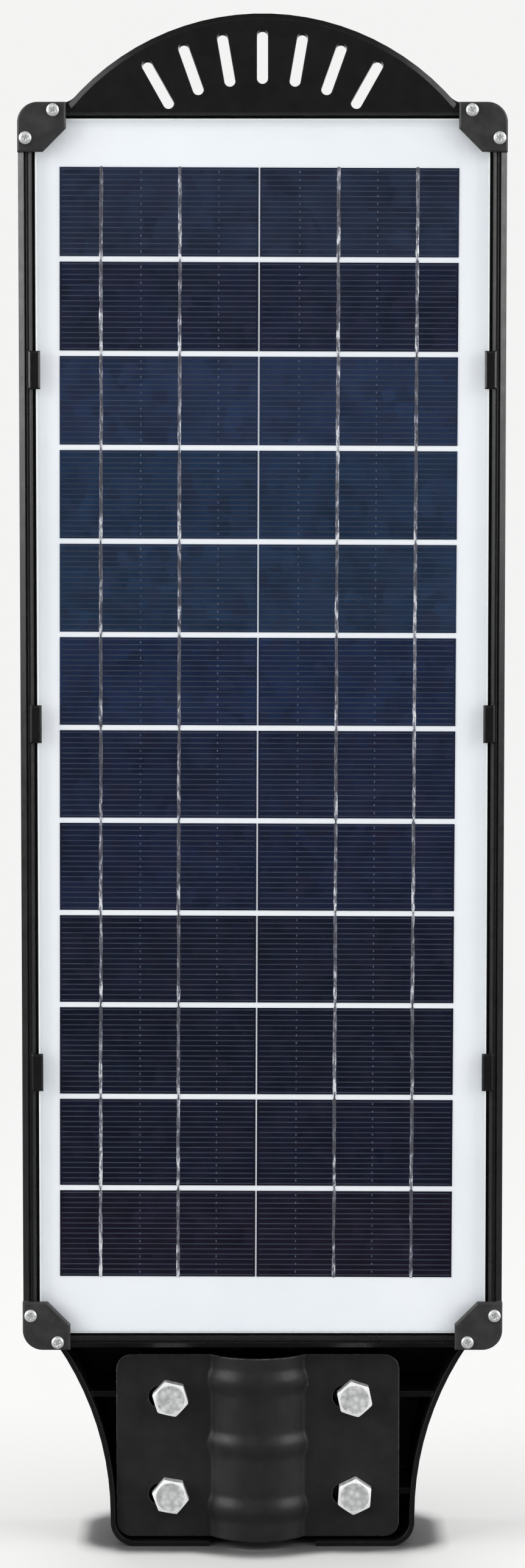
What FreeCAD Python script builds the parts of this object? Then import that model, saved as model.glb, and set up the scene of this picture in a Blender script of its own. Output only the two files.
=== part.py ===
import FreeCAD, Part
import os
import re

import Sketcher
from FreeCAD import Placement, Rotation, Vector

# Solar street lamp, in millimetres. The origin is on the pole's axis at the middle of the clamp.
# +Z runs along the lamp from the clamp to the handle, -Y is the solar panel's side, +Y the light's side.

SIZES = {
    # body: places along Y are distances from the pole's axis
    "body_width": 192,
    "body_length": 495,
    "clamp_to_body": 42.2,
    "front_face": 26,
    "back_face": 27,
    "rim_depth": 9,
    "rim_corner": 8,
    "rim_shoulder": 2.5,
    "groove_width": 0.75,
    "groove_depth": 0.6,
    "seat_side_wall": 5.5,
    "seat_end_wall": 5,
    "seat_bevel": 1.2,
    "seat_gap": 1.25,
    "ledge_width": 8,
    "tray_step": 3,
    "tray_draft": 3,
    "tray_corner": 6,
    "tray_back_round": 2.5,
    "wall": 2.8,
    "floor": 3,
    # handle
    "handle_radius": 100,
    "handle_rise": 34.7,
    "handle_thickness": 9,
    "handle_bevel": 2.2,
    "handle_root_round": 8,
    "slot_count": 7,
    "slot_step": 9.85,
    "slot_width": 4.25,
    "slot_inner_radius": 74.6,
    "slot_outer_radius": 91.5,
    # tail
    "tail_width": 123,
    "tail_drop": 41,
    "tail_straight": 28,
    "tail_flank_radius": 125,
    "tail_corner": 10,
    "tail_wall": 2,
    "tail_rib": 2.4,
    "tail_rib_top": 10,
    "saddle_half_width": 31,
    "saddle_end": 33,
    # pole and clamp
    "pole_radius": 20,
    "pole_clearance": 1.5,
    "clamp_opening": 2,
    "plate_width": 114.4,
    "plate_height": 74.8,
    "plate_thickness": 2,
    "plate_corner": 6,
    "plate_shift": 1.9,
    "channel_chord": 37.5,
    "bead_width": 10,
    "bead_proud": 1.1,
    "bead_flank": 2.2,
    "bead_pitch": 26,
    "bead_lift": 1,
    "bolt_spacing_across": 74.4,
    "bolt_spacing_up": 40,
    "bolt_radius": 4,
    "bolt_length": 40,
    "bolt_head_across": 13,
    "bolt_head_height": 5.3,
    "bolt_point": 1,
    "bolt_turn_top_left": 47,
    "bolt_turn_top_right": 42,
    "bolt_turn_bottom_left": 50,
    "bolt_turn_bottom_right": 26,
    "slot_play": 2.5,
    "bolt_clearance": 0.5,
    "boss_wall": 3.6,
    "boss_drop": 3,
    "thread_clearance": 0.08,
    "nut_height": 6.5,
    "nut_inset": 5.5,
    "nut_clearance": 0.15,
    # panel
    "glass_thickness": 2.8,
    "bond_thickness": 0.5,
    "backsheet_thickness": 0.4,
    "cell_thickness": 0.2,
    "cell_height": 34.8,
    "cell_gap": 2.15,
    "cell_rows": 12,
    "cell_array_width": 157,
    "cell_split": 0.6,
    "cell_shift": 1.95,
    "cell_lift": 1.85,
    "cell_turn": 0.2,
    "ribbon_width": 1.4,
    "ribbon_thickness": 0.15,
    "ribbon_overrun": 0.6,
    "ribbon_first": 16.3,
    "ribbon_second": 47.3,
    "gasket_width": 5,
    "gasket_thickness": 1.5,
    "box_width": 36,
    "box_height": 24,
    "box_depth": 6,
    "box_corner": 3,
    # corner caps and edge clips
    "cap_across": 19,
    "cap_up": 19.3,
    "cap_thickness": 2.6,
    "cap_chamfer": 9.1,
    "cap_edge": 0.6,
    "cap_screw_long": 14,
    "cap_screw_short": 3.2,
    "screw_radius": 1.4,
    "screw_head_radius": 2.5,
    "screw_head_height": 1.7,
    "screw_length": 9,
    "screw_short_length": 6,
    "screw_lens_length": 10,
    "screw_bottom": 0.5,
    "hole_clearance": 0.1,
    "opening_clearance": 0.2,
    "cross_width": 0.8,
    "cross_length": 2.9,
    "cross_depth": 0.9,
    "clip_length": 15,
    "clip_overlap": 1.8,
    "clip_on_rim": 1.6,
    "clip_thickness": 1.4,
    "clip_bevel": 0.7,
    "lip_clearance": 0.3,
    "lip_inset": 1,
    "lip_depth": 3,
    "clip_low": 111.9,
    "clip_mid": 251.1,
    "clip_high": 390.7,
    # light side openings
    "opening_rebate": 1.5,
    "cover_gasket": 0.7,
    "cover_gasket_band": 2,
    "cover_fit": 0.4,
    "cover_width": 158,
    "cover_height": 144,
    "cover_thickness": 3,
    "cover_corner": 6,
    "cover_low": 13,
    "cover_land": 7,
    "cover_screw_inset": 4,
    "cover_rib_count": 9,
    "cover_rib_inset": 8,
    "cover_rib_slope": 20,
    "cover_rib_width": 3,
    "cover_rib_height": 1.2,
    "cover_rib_pitch": 12,
    "cover_boss_radius": 3.4,
    "cover_boss_height": 7,
    "module_count": 3,
    "module_pitch": 92,
    "module_end": 9,
    "lens_width": 160,
    "lens_height": 86,
    "lens_thickness": 2,
    "lens_corner": 5,
    "lens_bulge": 2.5,
    "lens_land": 8,
    "lens_fit": 1,
    "lens_step": 3,
    "lens_slope": 30,
    "lens_round": 1.2,
    "lens_gasket_spread": 2,
    "lens_gasket_band": 1.8,
    "cup_rows": 3,
    "cup_columns": 6,
    "cup_pitch_across": 22.8,
    "cup_pitch_up": 22.4,
    "cup_mouth": 21,
    "cup_slope": 24,
    "reflector_flange": 2,
    "reflector_depth": 11,
    "reflector_boss_height": 5,
    "led_board_thickness": 1.6,
    "led_chip": 5,
    "led_chip_height": 1,
    # boards, sensor and switch
    "board_width": 146,
    "board_height": 34,
    "board_thickness": 1.6,
    "board_hole_inset": 4,
    "board_boss_height": 8,
    "board_boss_radius": 3.5,
    "standoff_height": 12,
    "standoff_radius": 2.8,
    "standoff_clearance": 0.05,
    "board_screw_bite": 4,
    "coil_radius": 8,
    "coil_height": 7,
    "coil_bore": 3.5,
    "coil_across": 30,
    "capacitor_radius": 4,
    "capacitor_height": 10,
    "capacitor_across": 3,
    "capacitor_spacing": 10,
    "sink_across": 24,
    "sink_width": 14.4,
    "sink_height": 18,
    "sink_base": 2,
    "sink_depth": 9,
    "fin_count": 5,
    "fin_pitch": 3,
    "fin_thickness": 1.2,
    "connector_width": 8,
    "connector_height": 6,
    "connector_depth": 6,
    "connector_drop": 8,
    "panel_connector": 56,
    "battery_connector": 44,
    "led_connector": 58,
    "sensor_can_radius": 4.6,
    "sensor_can_height": 4.4,
    "receiver_width": 6,
    "receiver_height": 5,
    "receiver_depth": 3,
    "indicator_led_radius": 1.5,
    "indicator_led_height": 2,
    "sensor_above_cover": 29,
    "dome_radius": 13,
    "dome_wall": 1.2,
    "dome_flange": 3,
    "dome_flange_thickness": 1.5,
    "dome_proud": 7,
    "seal_section": 0.7,
    "seal_width": 2.5,
    "button_across": 44,
    "button_radius": 6,
    "button_proud": 2.4,
    "button_clearance": 0.35,
    "button_flange": 1.4,
    "button_lip": 1.2,
    "button_play": 0.3,
    "button_bevel": 0.8,
    "button_dish": 0.5,
    "bezel_width": 4,
    "bezel_height": 2,
    "bezel_bevel": 1.2,
    "switch_size": 8,
    "switch_height": 3.5,
    "plunger_radius": 1.5,
    "plunger_reach": 0.8,
    "plunger_floor": 0.2,
    "indicator_across": 34,
    "indicator_radius": 2.5,
    "pipe_gap": 2.5,
    "pipe_proud": 0.8,
    "pipe_lip": 1,
    "window_across": 54,
    "window_width": 14,
    "window_height": 9,
    "window_lip": 1.5,
    "window_lip_depth": 1.2,
    "window_inset": 0.3,
    # battery
    "cell_can_radius": 16,
    "cell_can_length": 70,
    "cell_can_gap": 0.5,
    "cell_can_clearance": 0.2,
    "strip_thickness": 0.3,
    "strip_width": 8,
    "cradle_wall": 2,
    "cradle_height": 14,
    "cradle_inset": 1,
    "strap_thickness": 1,
    "strap_width": 12,
    "strap_foot": 10,
    "strap_gap": 1.5,
    "strap_play": 0.3,
    "lead_radius": 0.9,
    "lead_bend": 4,
    "lead_pitch": 4,
    "lead_drop": 3,
    "lead_loop": 6,
    "panel_lead_rise": 50,
    "panel_lead_dip": 25,
    "battery_lead_dip": 20,
    "led_lead_dip": 17,
    "led_lead_turn": 10,
    "led_lead_rise": 20,
    "led_lead_return": 34,
    "led_lead_across": 40,
}

DERIVED = {
    "front": "0 - front_face",
    "rim_back": "front + rim_depth",
    "floor_inside": "back_face - floor",
    "body_low": "clamp_to_body",
    "body_mid": "clamp_to_body + body_length / 2",
    "body_top": "clamp_to_body + body_length",
    "seat_width": "body_width - 2 * seat_side_wall",
    "seat_length": "body_length - 2 * seat_end_wall",
    "panel_width": "seat_width - 2 * seat_gap",
    "panel_length": "seat_length - 2 * seat_gap",
    "panel_back": "front + glass_thickness + bond_thickness + backsheet_thickness",
    "ledge": "panel_back + gasket_thickness",
    "tray_width": "body_width - 2 * tray_step",
    "tray_length": "body_length - 2 * tray_step",
    "tray_lean": "(back_face - rim_back) * tan(tray_draft)",
    "handle_centre": "body_top + handle_rise - handle_radius",
    "root_up": "body_top - handle_centre + handle_root_round",
    "root_across": "sqrt((handle_radius + handle_root_round)^2 - root_up^2)",
    "root_share": "handle_radius / (handle_radius + handle_root_round)",
    "channel_inner": "pole_radius + clamp_opening",
    "channel_outer": "channel_inner + plate_thickness",
    "plate_front": "0 - sqrt(channel_outer^2 - (channel_chord / 2)^2)",
    "plate_back": "plate_front + plate_thickness",
    "boss_top": "plate_back + boss_drop",
    "boss_radius": "bolt_radius + bolt_clearance + boss_wall",
    "bolt_across": "bolt_spacing_across / 2",
    "bolt_up": "bolt_spacing_up / 2",
    "array_height": "cell_rows * cell_height + (cell_rows - 1) * cell_gap",
    "row_pitch": "cell_height + cell_gap",
    "ribbon_back": "front + glass_thickness + ribbon_thickness",
    "cell_back": "ribbon_back + cell_thickness",
    "bond_back": "front + glass_thickness + bond_thickness",
    "clip_across": "clip_on_rim + seat_gap + clip_overlap",
    "cover_mid": "body_low + cover_low + cover_height / 2",
    "cover_opening_width": "cover_width - 2 * cover_land",
    "cover_opening_height": "cover_height - 2 * cover_land",
    "cover_seat": "back_face - opening_rebate",
    "cover_face": "cover_seat + cover_gasket + cover_thickness",
    "cover_screw_across": "cover_width / 2 - cover_land / 2",
    "cover_screw_up": "cover_height / 2 - cover_land / 2",
    "module_top": "body_top - tray_step - tray_lean - module_end - lens_height / 2",
    "window_across_side": "lens_width - 2 * lens_land",
    "lens_window_height": "lens_height - 2 * lens_land",
    "lens_face": "cover_seat + cover_gasket + lens_thickness",
    "lens_screw_across": "lens_width / 2 - lens_land / 2",
    "lens_screw_up": "lens_height / 2 - lens_land / 2",
    "reflector_bottom": "floor_inside - reflector_flange - reflector_depth",
    "sensor_up": "cover_mid + cover_height / 2 + sensor_above_cover",
    "sensor_board_top": "floor_inside - board_boss_height",
    "sensor_board_bottom": "sensor_board_top - board_thickness",
    "control_board_top": "sensor_board_bottom - standoff_height",
    "control_board_bottom": "control_board_top - board_thickness",
    "board_hole_across": "board_width / 2 - board_hole_inset",
    "board_hole_up": "board_height / 2 - board_hole_inset",
    "switch_top": "sensor_board_top + switch_height",
    "switch_stem": "floor_inside - button_play - button_flange - switch_top + plunger_reach",
    "cell_can_pitch": "2 * cell_can_radius + cell_can_gap",
    "battery_half_length": "cell_can_length + cell_can_gap / 2",
    "battery_low": "floor_inside - cell_can_gap - cradle_wall",
    "battery_axis": "battery_low - cell_can_radius",
    "strap_leg": "battery_half_length + strap_gap",
    "strap_hole": "strap_leg + 0.6 * strap_foot",
    "strap_sole": "floor_inside - board_boss_height",
    "strap_top": "battery_axis - cell_can_radius - strap_play",
    "strip_outside": "battery_half_length + strip_thickness + lead_radius",
    "lead_depth": "control_board_bottom - lead_drop",
    "lead_end": "sensor_up - connector_drop - lead_drop",
    "led_lead_side": "board_width / 2 + lead_loop",
}

doc = FreeCAD.newDocument("solar_street_lamp")
sheet = doc.addObject("Spreadsheet::Sheet", "Sizes")
for row, (alias, value) in enumerate(SIZES.items(), start=1):
    sheet.set(f"A{row}", alias)
    sheet.set(f"B{row}", str(value))
    sheet.setAlias(f"B{row}", alias)
doc.recompute()

TO_BACK = Rotation(Vector(1, 0, 0), -90)  # a piece drawn along +Z points to the light side, +Y
TO_FRONT = Rotation(Vector(1, 0, 0), 90)  # a piece drawn along +Z points to the panel side, -Y
ALONG_X = Rotation(Vector(0, 1, 0), 90)
UPRIGHT = Rotation()
HERE = ("0", "0", "0")

nodes = []


def formula(text):
    """Write out a formula of named sizes as an expression on the sheet's cells."""

    def spell(match):
        word = match.group(0)
        if word in DERIVED:
            return "(" + formula(DERIVED[word]) + ")"
        return "Sizes." + word if word in SIZES else word

    return re.sub(r"[a-z][a-z_]*", spell, text)


def number(text):
    """The value in millimetres that a formula has now."""
    return float(sheet.evalExpression(formula(text)))


def bind(thing, **formulas):
    """Bind each named property of an object to its formula."""
    for name, text in formulas.items():
        thing.setExpression(name, formula(text))


def place(thing, at, turn=UPRIGHT):
    """Turn an object and bind its place to three formulas."""
    thing.Placement = Placement(Vector(0, 0, 0), turn)
    for axis, text in zip("xyz", at):
        thing.setExpression("Placement.Base." + axis, formula(text))
    return thing


def node(thing, name):
    """Name a finished sub-part, so that it is written out under that name."""
    thing.Label = name
    nodes.append(thing)
    return thing


def block(across, depth, up):
    """A box from three (low, high) pairs of formulas along X, Y and Z."""
    box = doc.addObject("Part::Box", "Block")
    spans = [f"({high}) - ({low})" for low, high in (across, depth, up)]
    bind(box, Length=spans[0], Width=spans[1], Height=spans[2])
    return place(box, (across[0], depth[0], up[0]))


def centred(width, height, depth, across="0", up="0"):
    """A box centred on a point of the face, from one depth to another along Y."""
    return block(
        (f"({across}) - ({width}) / 2", f"({across}) + ({width}) / 2"),
        depth,
        (f"({up}) - ({height}) / 2", f"({up}) + ({height}) / 2"),
    )


def rod(radius, length, at, turn=TO_BACK):
    """A round bar that starts at a point and runs along the turned Z axis."""
    bar = doc.addObject("Part::Cylinder", "Rod")
    bind(bar, Radius=radius, Height=length)
    return place(bar, at, turn)


def peg(radius, depth, across, up):
    """A round bar along Y, from one depth to another."""
    return rod(radius, f"({depth[1]}) - ({depth[0]})", (across, depth[0], up))


def fuse(*pieces):
    """Join pieces into one solid."""
    joined = doc.addObject("Part::MultiFuse", "Fuse")
    joined.Shapes = list(pieces)
    joined.Refine = True
    return joined


def cut(base, *tools):
    """Take tools away from a base."""
    tool = tools[0] if len(tools) == 1 else fuse(*tools)
    result = doc.addObject("Part::Cut", "Cut")
    result.Base = base
    result.Tool = tool
    return result


def common(first, second):
    """Keep what two pieces share."""
    result = doc.addObject("Part::Common", "Common")
    result.Base = first
    result.Tool = second
    return result


def group(name, pieces):
    """One node that holds several separate solids."""
    compound = doc.addObject("Part::Compound", "Group")
    compound.Links = list(pieces)
    return node(compound, name)


def copy_of(master, at, turn=UPRIGHT):
    """The same piece again in another place."""
    link = doc.addObject("App::Link", "Copy")
    link.LinkedObject = master
    return place(link, at, turn)


def mirrored_places(across, up, rows=(-1, 1), columns=(-1, 1)):
    """Formulas for the places of pieces on both sides of the middle."""
    return [(f"{c} * ({across})", f"{r} * ({up})") for r in rows for c in columns]


class Solid:
    """A PartDesign body built feature by feature, with every size bound to a formula."""

    def __init__(self, name, at=HERE, turn=UPRIGHT):
        self.body = doc.addObject("PartDesign::Body", name)
        self.body.Label = name
        place(self.body, at, turn)

    def origin(self, role):
        """One of the body's own origin planes or axes."""
        return next(f for f in self.body.Origin.OriginFeatures if f.Role == role)

    def sketch(self, plane="XZ", across="0", up="0", lift="0"):
        """An empty sketch on an origin plane. Lift is along the plane's normal, which is -Y for XZ."""
        drawing = self.body.newObject("Sketcher::SketchObject", "Sketch")
        drawing.AttachmentSupport = [(self.origin(plane + "_Plane"), "")]
        drawing.MapMode = "FlatFace"
        for axis, text in zip("xyz", (across, up, lift)):
            drawing.setExpression("AttachmentOffset.Base." + axis, formula(text))
        return drawing

    def feature(self, kind, drawing, **formulas):
        """Add a sketch-based feature and check that it changed the solid."""
        before = self.body.Shape.Volume if self.body.Tip else 0
        made = self.body.newObject("PartDesign::" + kind, kind)
        made.Profile = drawing
        flags = {k: v for k, v in formulas.items() if isinstance(v, bool)}
        for name, flag in flags.items():
            setattr(made, name, flag)
        bind(made, **{k: v for k, v in formulas.items() if k not in flags})
        drawing.Visibility = False
        doc.recompute()
        if abs(self.body.Shape.Volume - before) < 1e-3:
            raise ValueError(f"{self.body.Label}: {kind} changes nothing")
        return made

    def pad(self, drawing, length, taper="0", reversed=False):
        """Add material along the sketch's normal."""
        return self.feature("Pad", drawing, Length=length, TaperAngle=taper, Reversed=reversed)

    def pocket(self, drawing, length, taper="0", reversed=False):
        """Take material away against the sketch's normal."""
        return self.feature("Pocket", drawing, Length=length, TaperAngle=taper, Reversed=reversed)

    def revolve(self, drawing):
        """Turn a half profile once round the body's Z axis."""
        made = self.body.newObject("PartDesign::Revolution", "Revolution")
        made.Profile = drawing
        made.ReferenceAxis = (self.origin("Z_Axis"), [""])
        made.Angle = 360
        doc.recompute()
        return made

    def dress(self, kind, wanted, **formulas):
        """Add a fillet or chamfer on the edges that a test picks."""
        base = self.body.Tip
        picked = [f"Edge{i}" for i, e in enumerate(base.Shape.Edges, start=1) if wanted(e)]
        made = self.body.newObject("PartDesign::" + kind, kind)
        made.Base = (base, picked)
        bind(made, **formulas)
        doc.recompute()
        return made

    def fillet(self, wanted, radius):
        """Round the edges that a test picks."""
        return self.dress("Fillet", wanted, Radius=radius)

    def chamfer(self, wanted, size):
        """Bevel the edges that a test picks."""
        return self.dress("Chamfer", wanted, Size=size)


def rectangle(drawing, width, height):
    """A rectangle centred on the sketch's origin."""
    first = drawing.GeometryCount
    half_w, half_h = number(width) / 2, number(height) / 2
    corners = [(-half_w, -half_h), (half_w, -half_h), (half_w, half_h), (-half_w, half_h)]
    for (x1, y1), (x2, y2) in zip(corners, corners[1:] + corners[:1]):
        drawing.addGeometry(Part.LineSegment(Vector(x1, y1, 0), Vector(x2, y2, 0)))
    for side in range(4):
        drawing.addConstraint(
            Sketcher.Constraint("Coincident", first + side, 2, first + (side + 1) % 4, 1)
        )
        direction = "Horizontal" if side % 2 == 0 else "Vertical"
        drawing.addConstraint(Sketcher.Constraint(direction, first + side))
    drawing.addConstraint(Sketcher.Constraint("Symmetric", first, 1, first + 1, 2, -1, 1))
    measure(drawing, ("DistanceX", first, 1, first, 2), width)
    measure(drawing, ("DistanceY", first + 1, 1, first + 1, 2), height)


def circle(drawing, radius):
    """A circle round the sketch's origin."""
    first = drawing.GeometryCount
    drawing.addGeometry(Part.Circle(Vector(0, 0, 0), Vector(0, 0, 1), number(radius)))
    drawing.addConstraint(Sketcher.Constraint("Coincident", first, 3, -1, 1))
    measure(drawing, ("Radius", first), radius)


def hexagon(drawing, across_flats):
    """A hexagon round the sketch's origin, with two sides level."""
    half, side = f"({across_flats}) / 2", f"({across_flats}) / sqrt(3)"
    polygon(
        drawing,
        [
            (f"{sx} * {side}" + (" / 2" if sy else ""), f"{sy} * {half}")
            for sx, sy in ((1, 0), (1, 1), (-1, 1), (-1, 0), (-1, -1), (1, -1))
        ],
    )


def polygon(drawing, points):
    """A closed outline whose corners are pairs of formulas."""
    first = drawing.GeometryCount
    places = [Vector(number(x), number(y), 0) for x, y in points]
    count = len(points)
    for start, end in zip(places, places[1:] + places[:1]):
        drawing.addGeometry(Part.LineSegment(start, end))
    for i in range(count):
        drawing.addConstraint(
            Sketcher.Constraint("Coincident", first + i, 2, first + (i + 1) % count, 1)
        )
    for i, (x, y) in enumerate(points):
        pin_down(drawing, first + i, places[i], x, y)


def pin_down(drawing, line, where, across, up):
    """Fix a line's first end by its distances from the sketch's axes."""
    for kind, amount, text, axis in (
        ("DistanceX", where.x, across, -2),
        ("DistanceY", where.y, up, -1),
    ):
        if abs(amount) < 1e-9:
            drawing.addConstraint(Sketcher.Constraint("PointOnObject", line, 1, axis))
        elif amount > 0:
            measure(drawing, (kind, -1, 1, line, 1), text)
        else:
            measure(drawing, (kind, line, 1, -1, 1), f"0 - ({text})")


def measure(drawing, what, text):
    """Add a driving dimension and bind it to a formula."""
    index = drawing.addConstraint(Sketcher.Constraint(*what, number(text)))
    drawing.renameConstraint(index, f"size_{index}")
    drawing.setExpression(f"Constraints.size_{index}", formula(text))


def runs_along(axis):
    """A test for straight edges that keep to one direction, within the draft of a wall."""

    def test(edge):
        if len(edge.Vertexes) < 2 or not isinstance(edge.Curve, (Part.Line, Part.BSplineCurve)):
            return False
        way = (edge.Vertexes[-1].Point - edge.Vertexes[0].Point).normalize()
        return abs(way[axis]) > 0.98

    return test


def lies_at(axis, text):
    """A test for edges that lie wholly at one place along an axis."""
    wanted = number(text)

    def test(edge):
        box = edge.BoundBox
        low, high = ((box.XMin, box.XMax), (box.YMin, box.YMax), (box.ZMin, box.ZMax))[axis]
        return abs(low - wanted) < 1e-4 and abs(high - wanted) < 1e-4

    return test


def rounded_plate(name, width, height, depth, corner, across="0", up="0"):
    """A flat plate that faces Y, from one depth to another, with rounded corners."""
    plate = Solid(name, at=(across, depth[0], up))
    drawing = plate.sketch()
    rectangle(drawing, width, height)
    plate.pad(drawing, f"({depth[1]}) - ({depth[0]})", reversed=True)
    plate.fillet(runs_along(1), corner)
    return plate


# Housing


def rim_blank():
    """The flange round the panel before its seat is cut, with its bevelled outer shoulder."""
    rim = Solid("Rim", at=("0", "rim_back", "body_mid"))
    drawing = rim.sketch()
    rectangle(drawing, "body_width", "body_length")
    rim.pad(drawing, "rim_depth")
    rim.fillet(runs_along(1), "rim_corner")
    rim.chamfer(lies_at(1, "0 - rim_depth"), "rim_shoulder")
    return rim


def rim_cuts():
    """The panel's seat and bevelled mouth, the opening inside the ledge, and the shoulder's groove."""
    seat = Solid("Seat", at=("0", "ledge", "body_mid"))
    drawing = seat.sketch()
    rectangle(drawing, "seat_width", "seat_length")
    seat.pad(drawing, "ledge - front")
    bevel = Solid("Seat_bevel", at=("0", "front + seat_bevel", "body_mid"))
    drawing = bevel.sketch()
    rectangle(drawing, "seat_width", "seat_length")
    bevel.pad(drawing, "seat_bevel", taper="45")
    opening = centred(
        "seat_width - 2 * ledge_width",
        "seat_length - 2 * ledge_width",
        ("ledge - 1", "rim_back + 1"),
        up="body_mid",
    )
    grooves = []
    reach_up = "body_length / 2 - cap_up + 1"
    reach_across = "body_width / 2 - cap_across + 1"
    deep = ("front - 1", "front + groove_depth")
    for side in (-1, 1):
        middle = f"{side} * (body_width / 2 - rim_shoulder - groove_width / 2)"
        grooves.append(
            centred("groove_width", f"2 * ({reach_up})", deep, across=middle, up="body_mid")
        )
    low = "body_low + rim_shoulder + groove_width / 2"
    grooves.append(centred(f"2 * ({reach_across})", "groove_width", deep, up=low))
    return [seat.body, bevel.body, opening] + grooves


def tray():
    """The deep, drafted tray behind the rim."""
    shell = Solid("Tray", at=("0", "rim_back", "body_mid"))
    drawing = shell.sketch()
    rectangle(drawing, "tray_width", "tray_length")
    shell.pad(drawing, "back_face - rim_back", taper="0 - tray_draft", reversed=True)
    shell.fillet(runs_along(1), "tray_corner")
    shell.fillet(lies_at(1, "back_face - rim_back"), "tray_back_round")
    return shell.body


def tray_cavity():
    """The space inside the tray, drafted like its outside."""
    space = Solid("Cavity", at=("0", "rim_back", "body_mid"))
    drawing = space.sketch()
    rectangle(drawing, "tray_width - 2 * wall", "tray_length - 2 * wall")
    space.pad(drawing, "floor_inside - rim_back", taper="0 - tray_draft", reversed=True)
    space.fillet(runs_along(1), "tray_corner - wall")
    return space.body


def handle():
    """The flat carrying handle: a segment of a disc with seven radial slots."""
    grip = Solid("Handle", at=("0", "front + handle_thickness", "handle_centre"))
    drawing = grip.sketch()
    circle(drawing, "handle_radius")
    grip.pad(drawing, "handle_thickness")
    grip.chamfer(lies_at(1, "0 - handle_thickness"), "handle_bevel")
    below = grip.sketch(
        up="body_top - handle_centre - handle_radius - rim_shoulder - 1", lift="handle_thickness"
    )
    rectangle(below, "3 * handle_radius", "2 * handle_radius")
    grip.pocket(below, "handle_thickness")
    return grip.body


def handle_slots():
    """Seven round-ended slots on lines through the handle's centre."""
    slots = []
    for i in range(int(number("slot_count"))):
        angle = f"({i} - (slot_count - 1) / 2) * slot_step"
        slot = Solid("Slot", at=("0", "front + handle_thickness + 1", "handle_centre"))
        length = "slot_outer_radius - slot_inner_radius"
        for height, ends in (("slot_inner_radius", False), ("slot_outer_radius", True)):
            drawing = slot.sketch(up=height)
            circle(drawing, "slot_width / 2")
            if not ends:
                slot.pad(drawing, "handle_thickness + 2")
                bar = slot.sketch(up=f"slot_inner_radius + ({length}) / 2")
                rectangle(bar, "slot_width", length)
                slot.pad(bar, "handle_thickness + 2")
            else:
                slot.pad(drawing, "handle_thickness + 2")
        slot.body.Placement = Placement(slot.body.Placement.Base, Rotation(Vector(0, 1, 0), 1))
        slot.body.setExpression("Placement.Rotation.Angle", formula(angle))
        slots.append(slot.body)
    return slots


def handle_roots():
    """The hollow roundings where the handle's arc meets the top of the body."""
    roots = []
    for side in (-1, 1):
        inner = f"{side} * root_across * root_share"
        outer = f"{side} * root_across"
        low, high = (inner, outer) if side > 0 else (outer, inner)
        web = block(
            (low, high),
            ("front + rim_shoulder", "front + handle_thickness"),
            ("body_top - rim_shoulder - 1", "handle_centre + root_up * root_share"),
        )
        hollow = rod(
            "handle_root_round",
            "handle_thickness + 2",
            (outer, "front - 1", "handle_centre + root_up"),
        )
        roots.append(cut(web, hollow))
    return roots


def tail_shape(shrink, depth, top):
    """The tail's outline, drawn in by a distance, from one depth to another: a foot with round corners
    below, and above it a part whose sides flare along two large arcs."""
    low = f"({shrink}) - tail_drop"
    bend = "(0 - tail_straight)"
    length = f"({depth[1]}) - ({depth[0]})"
    foot_top = f"{bend} + tail_corner / 2"
    foot = Solid("Tail_foot", at=("0", depth[0], f"(({low}) + {foot_top}) / 2"))
    drawing = foot.sketch()
    rectangle(drawing, f"tail_width - 2 * ({shrink})", f"{foot_top} - ({low})")
    foot.pad(drawing, length, reversed=True)
    foot.fillet(lambda e: runs_along(1)(e) and e.Vertexes[0].Z < 0, f"tail_corner - ({shrink})")
    flare = centred("2 * tail_width", f"({top}) - {bend}", depth, up=f"(({top}) + {bend}) / 2")
    past = (f"({depth[0]}) - 1", f"({depth[1]}) + 1")
    sides = [
        peg(
            f"tail_flank_radius + ({shrink})",
            past,
            f"{side} * (tail_width / 2 + tail_flank_radius)",
            bend,
        )
        for side in (-1, 1)
    ]
    return fuse(foot.body, cut(flare, *sides))


def tail():
    """The open clamp tail with its saddle ribs and bolt bosses."""
    shell = cut(
        tail_shape("0", ("rim_back", "back_face"), "body_low + tray_step + tray_lean + wall"),
        tail_shape("tail_wall", ("rim_back - 1", "floor_inside"), "body_low"),
    )
    ribs = []
    for up in ("bolt_up", "0 - bolt_up"):
        ribs.append(
            common(
                tail_shape("tail_wall / 2", ("0 - tail_rib_top", "back_face - floor / 2"), "body_low"),
                centred("2 * tail_width", "tail_rib", ("front", "back_face"), up=up),
            )
        )
    for up in ("saddle_end", "0 - saddle_end"):
        ribs.append(
            centred(
                "2 * saddle_half_width",
                "tail_rib",
                ("0 - tail_rib_top", "back_face - floor / 2"),
                up=up,
            ),
        )
    for across, up in mirrored_places("bolt_across", "bolt_up"):
        ribs.append(peg("boss_radius", ("boss_top", "back_face - floor / 2"), across, up))
    return fuse(shell, *ribs)


def tail_cuts():
    """The pole's bed through the ribs and the lower wall, the bolt holes and the nut pockets."""
    bed = rod(
        "pole_radius",
        "clamp_to_body + saddle_end + tail_rib / 2",
        ("0", "0", "0 - saddle_end - tail_rib / 2"),
        UPRIGHT,
    )
    mouth_radius = "pole_radius + pole_clearance"
    mouth = rod(mouth_radius, "tail_wall + 3", ("0", "0", "0 - tail_drop - 1"), UPRIGHT)
    notch = block(
        (f"0 - ({mouth_radius})", mouth_radius),
        ("rim_back - 1", "0"),
        ("0 - tail_drop - 1", "2 + tail_wall - tail_drop"),
    )
    cuts = [bed, mouth, notch]
    for across, up in mirrored_places("bolt_across", "bolt_up"):
        cuts.append(peg("bolt_radius + bolt_clearance", ("boss_top - 1", "back_face + 1"), across, up))
        pocket = Solid("Nut_pocket", at=(across, "back_face + 1", up))
        drawing = pocket.sketch()
        hexagon(drawing, "bolt_head_across + 2 * nut_clearance")
        pocket.pad(drawing, "nut_inset + nut_height + 1")
        cuts.append(pocket.body)
    return cuts


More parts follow.
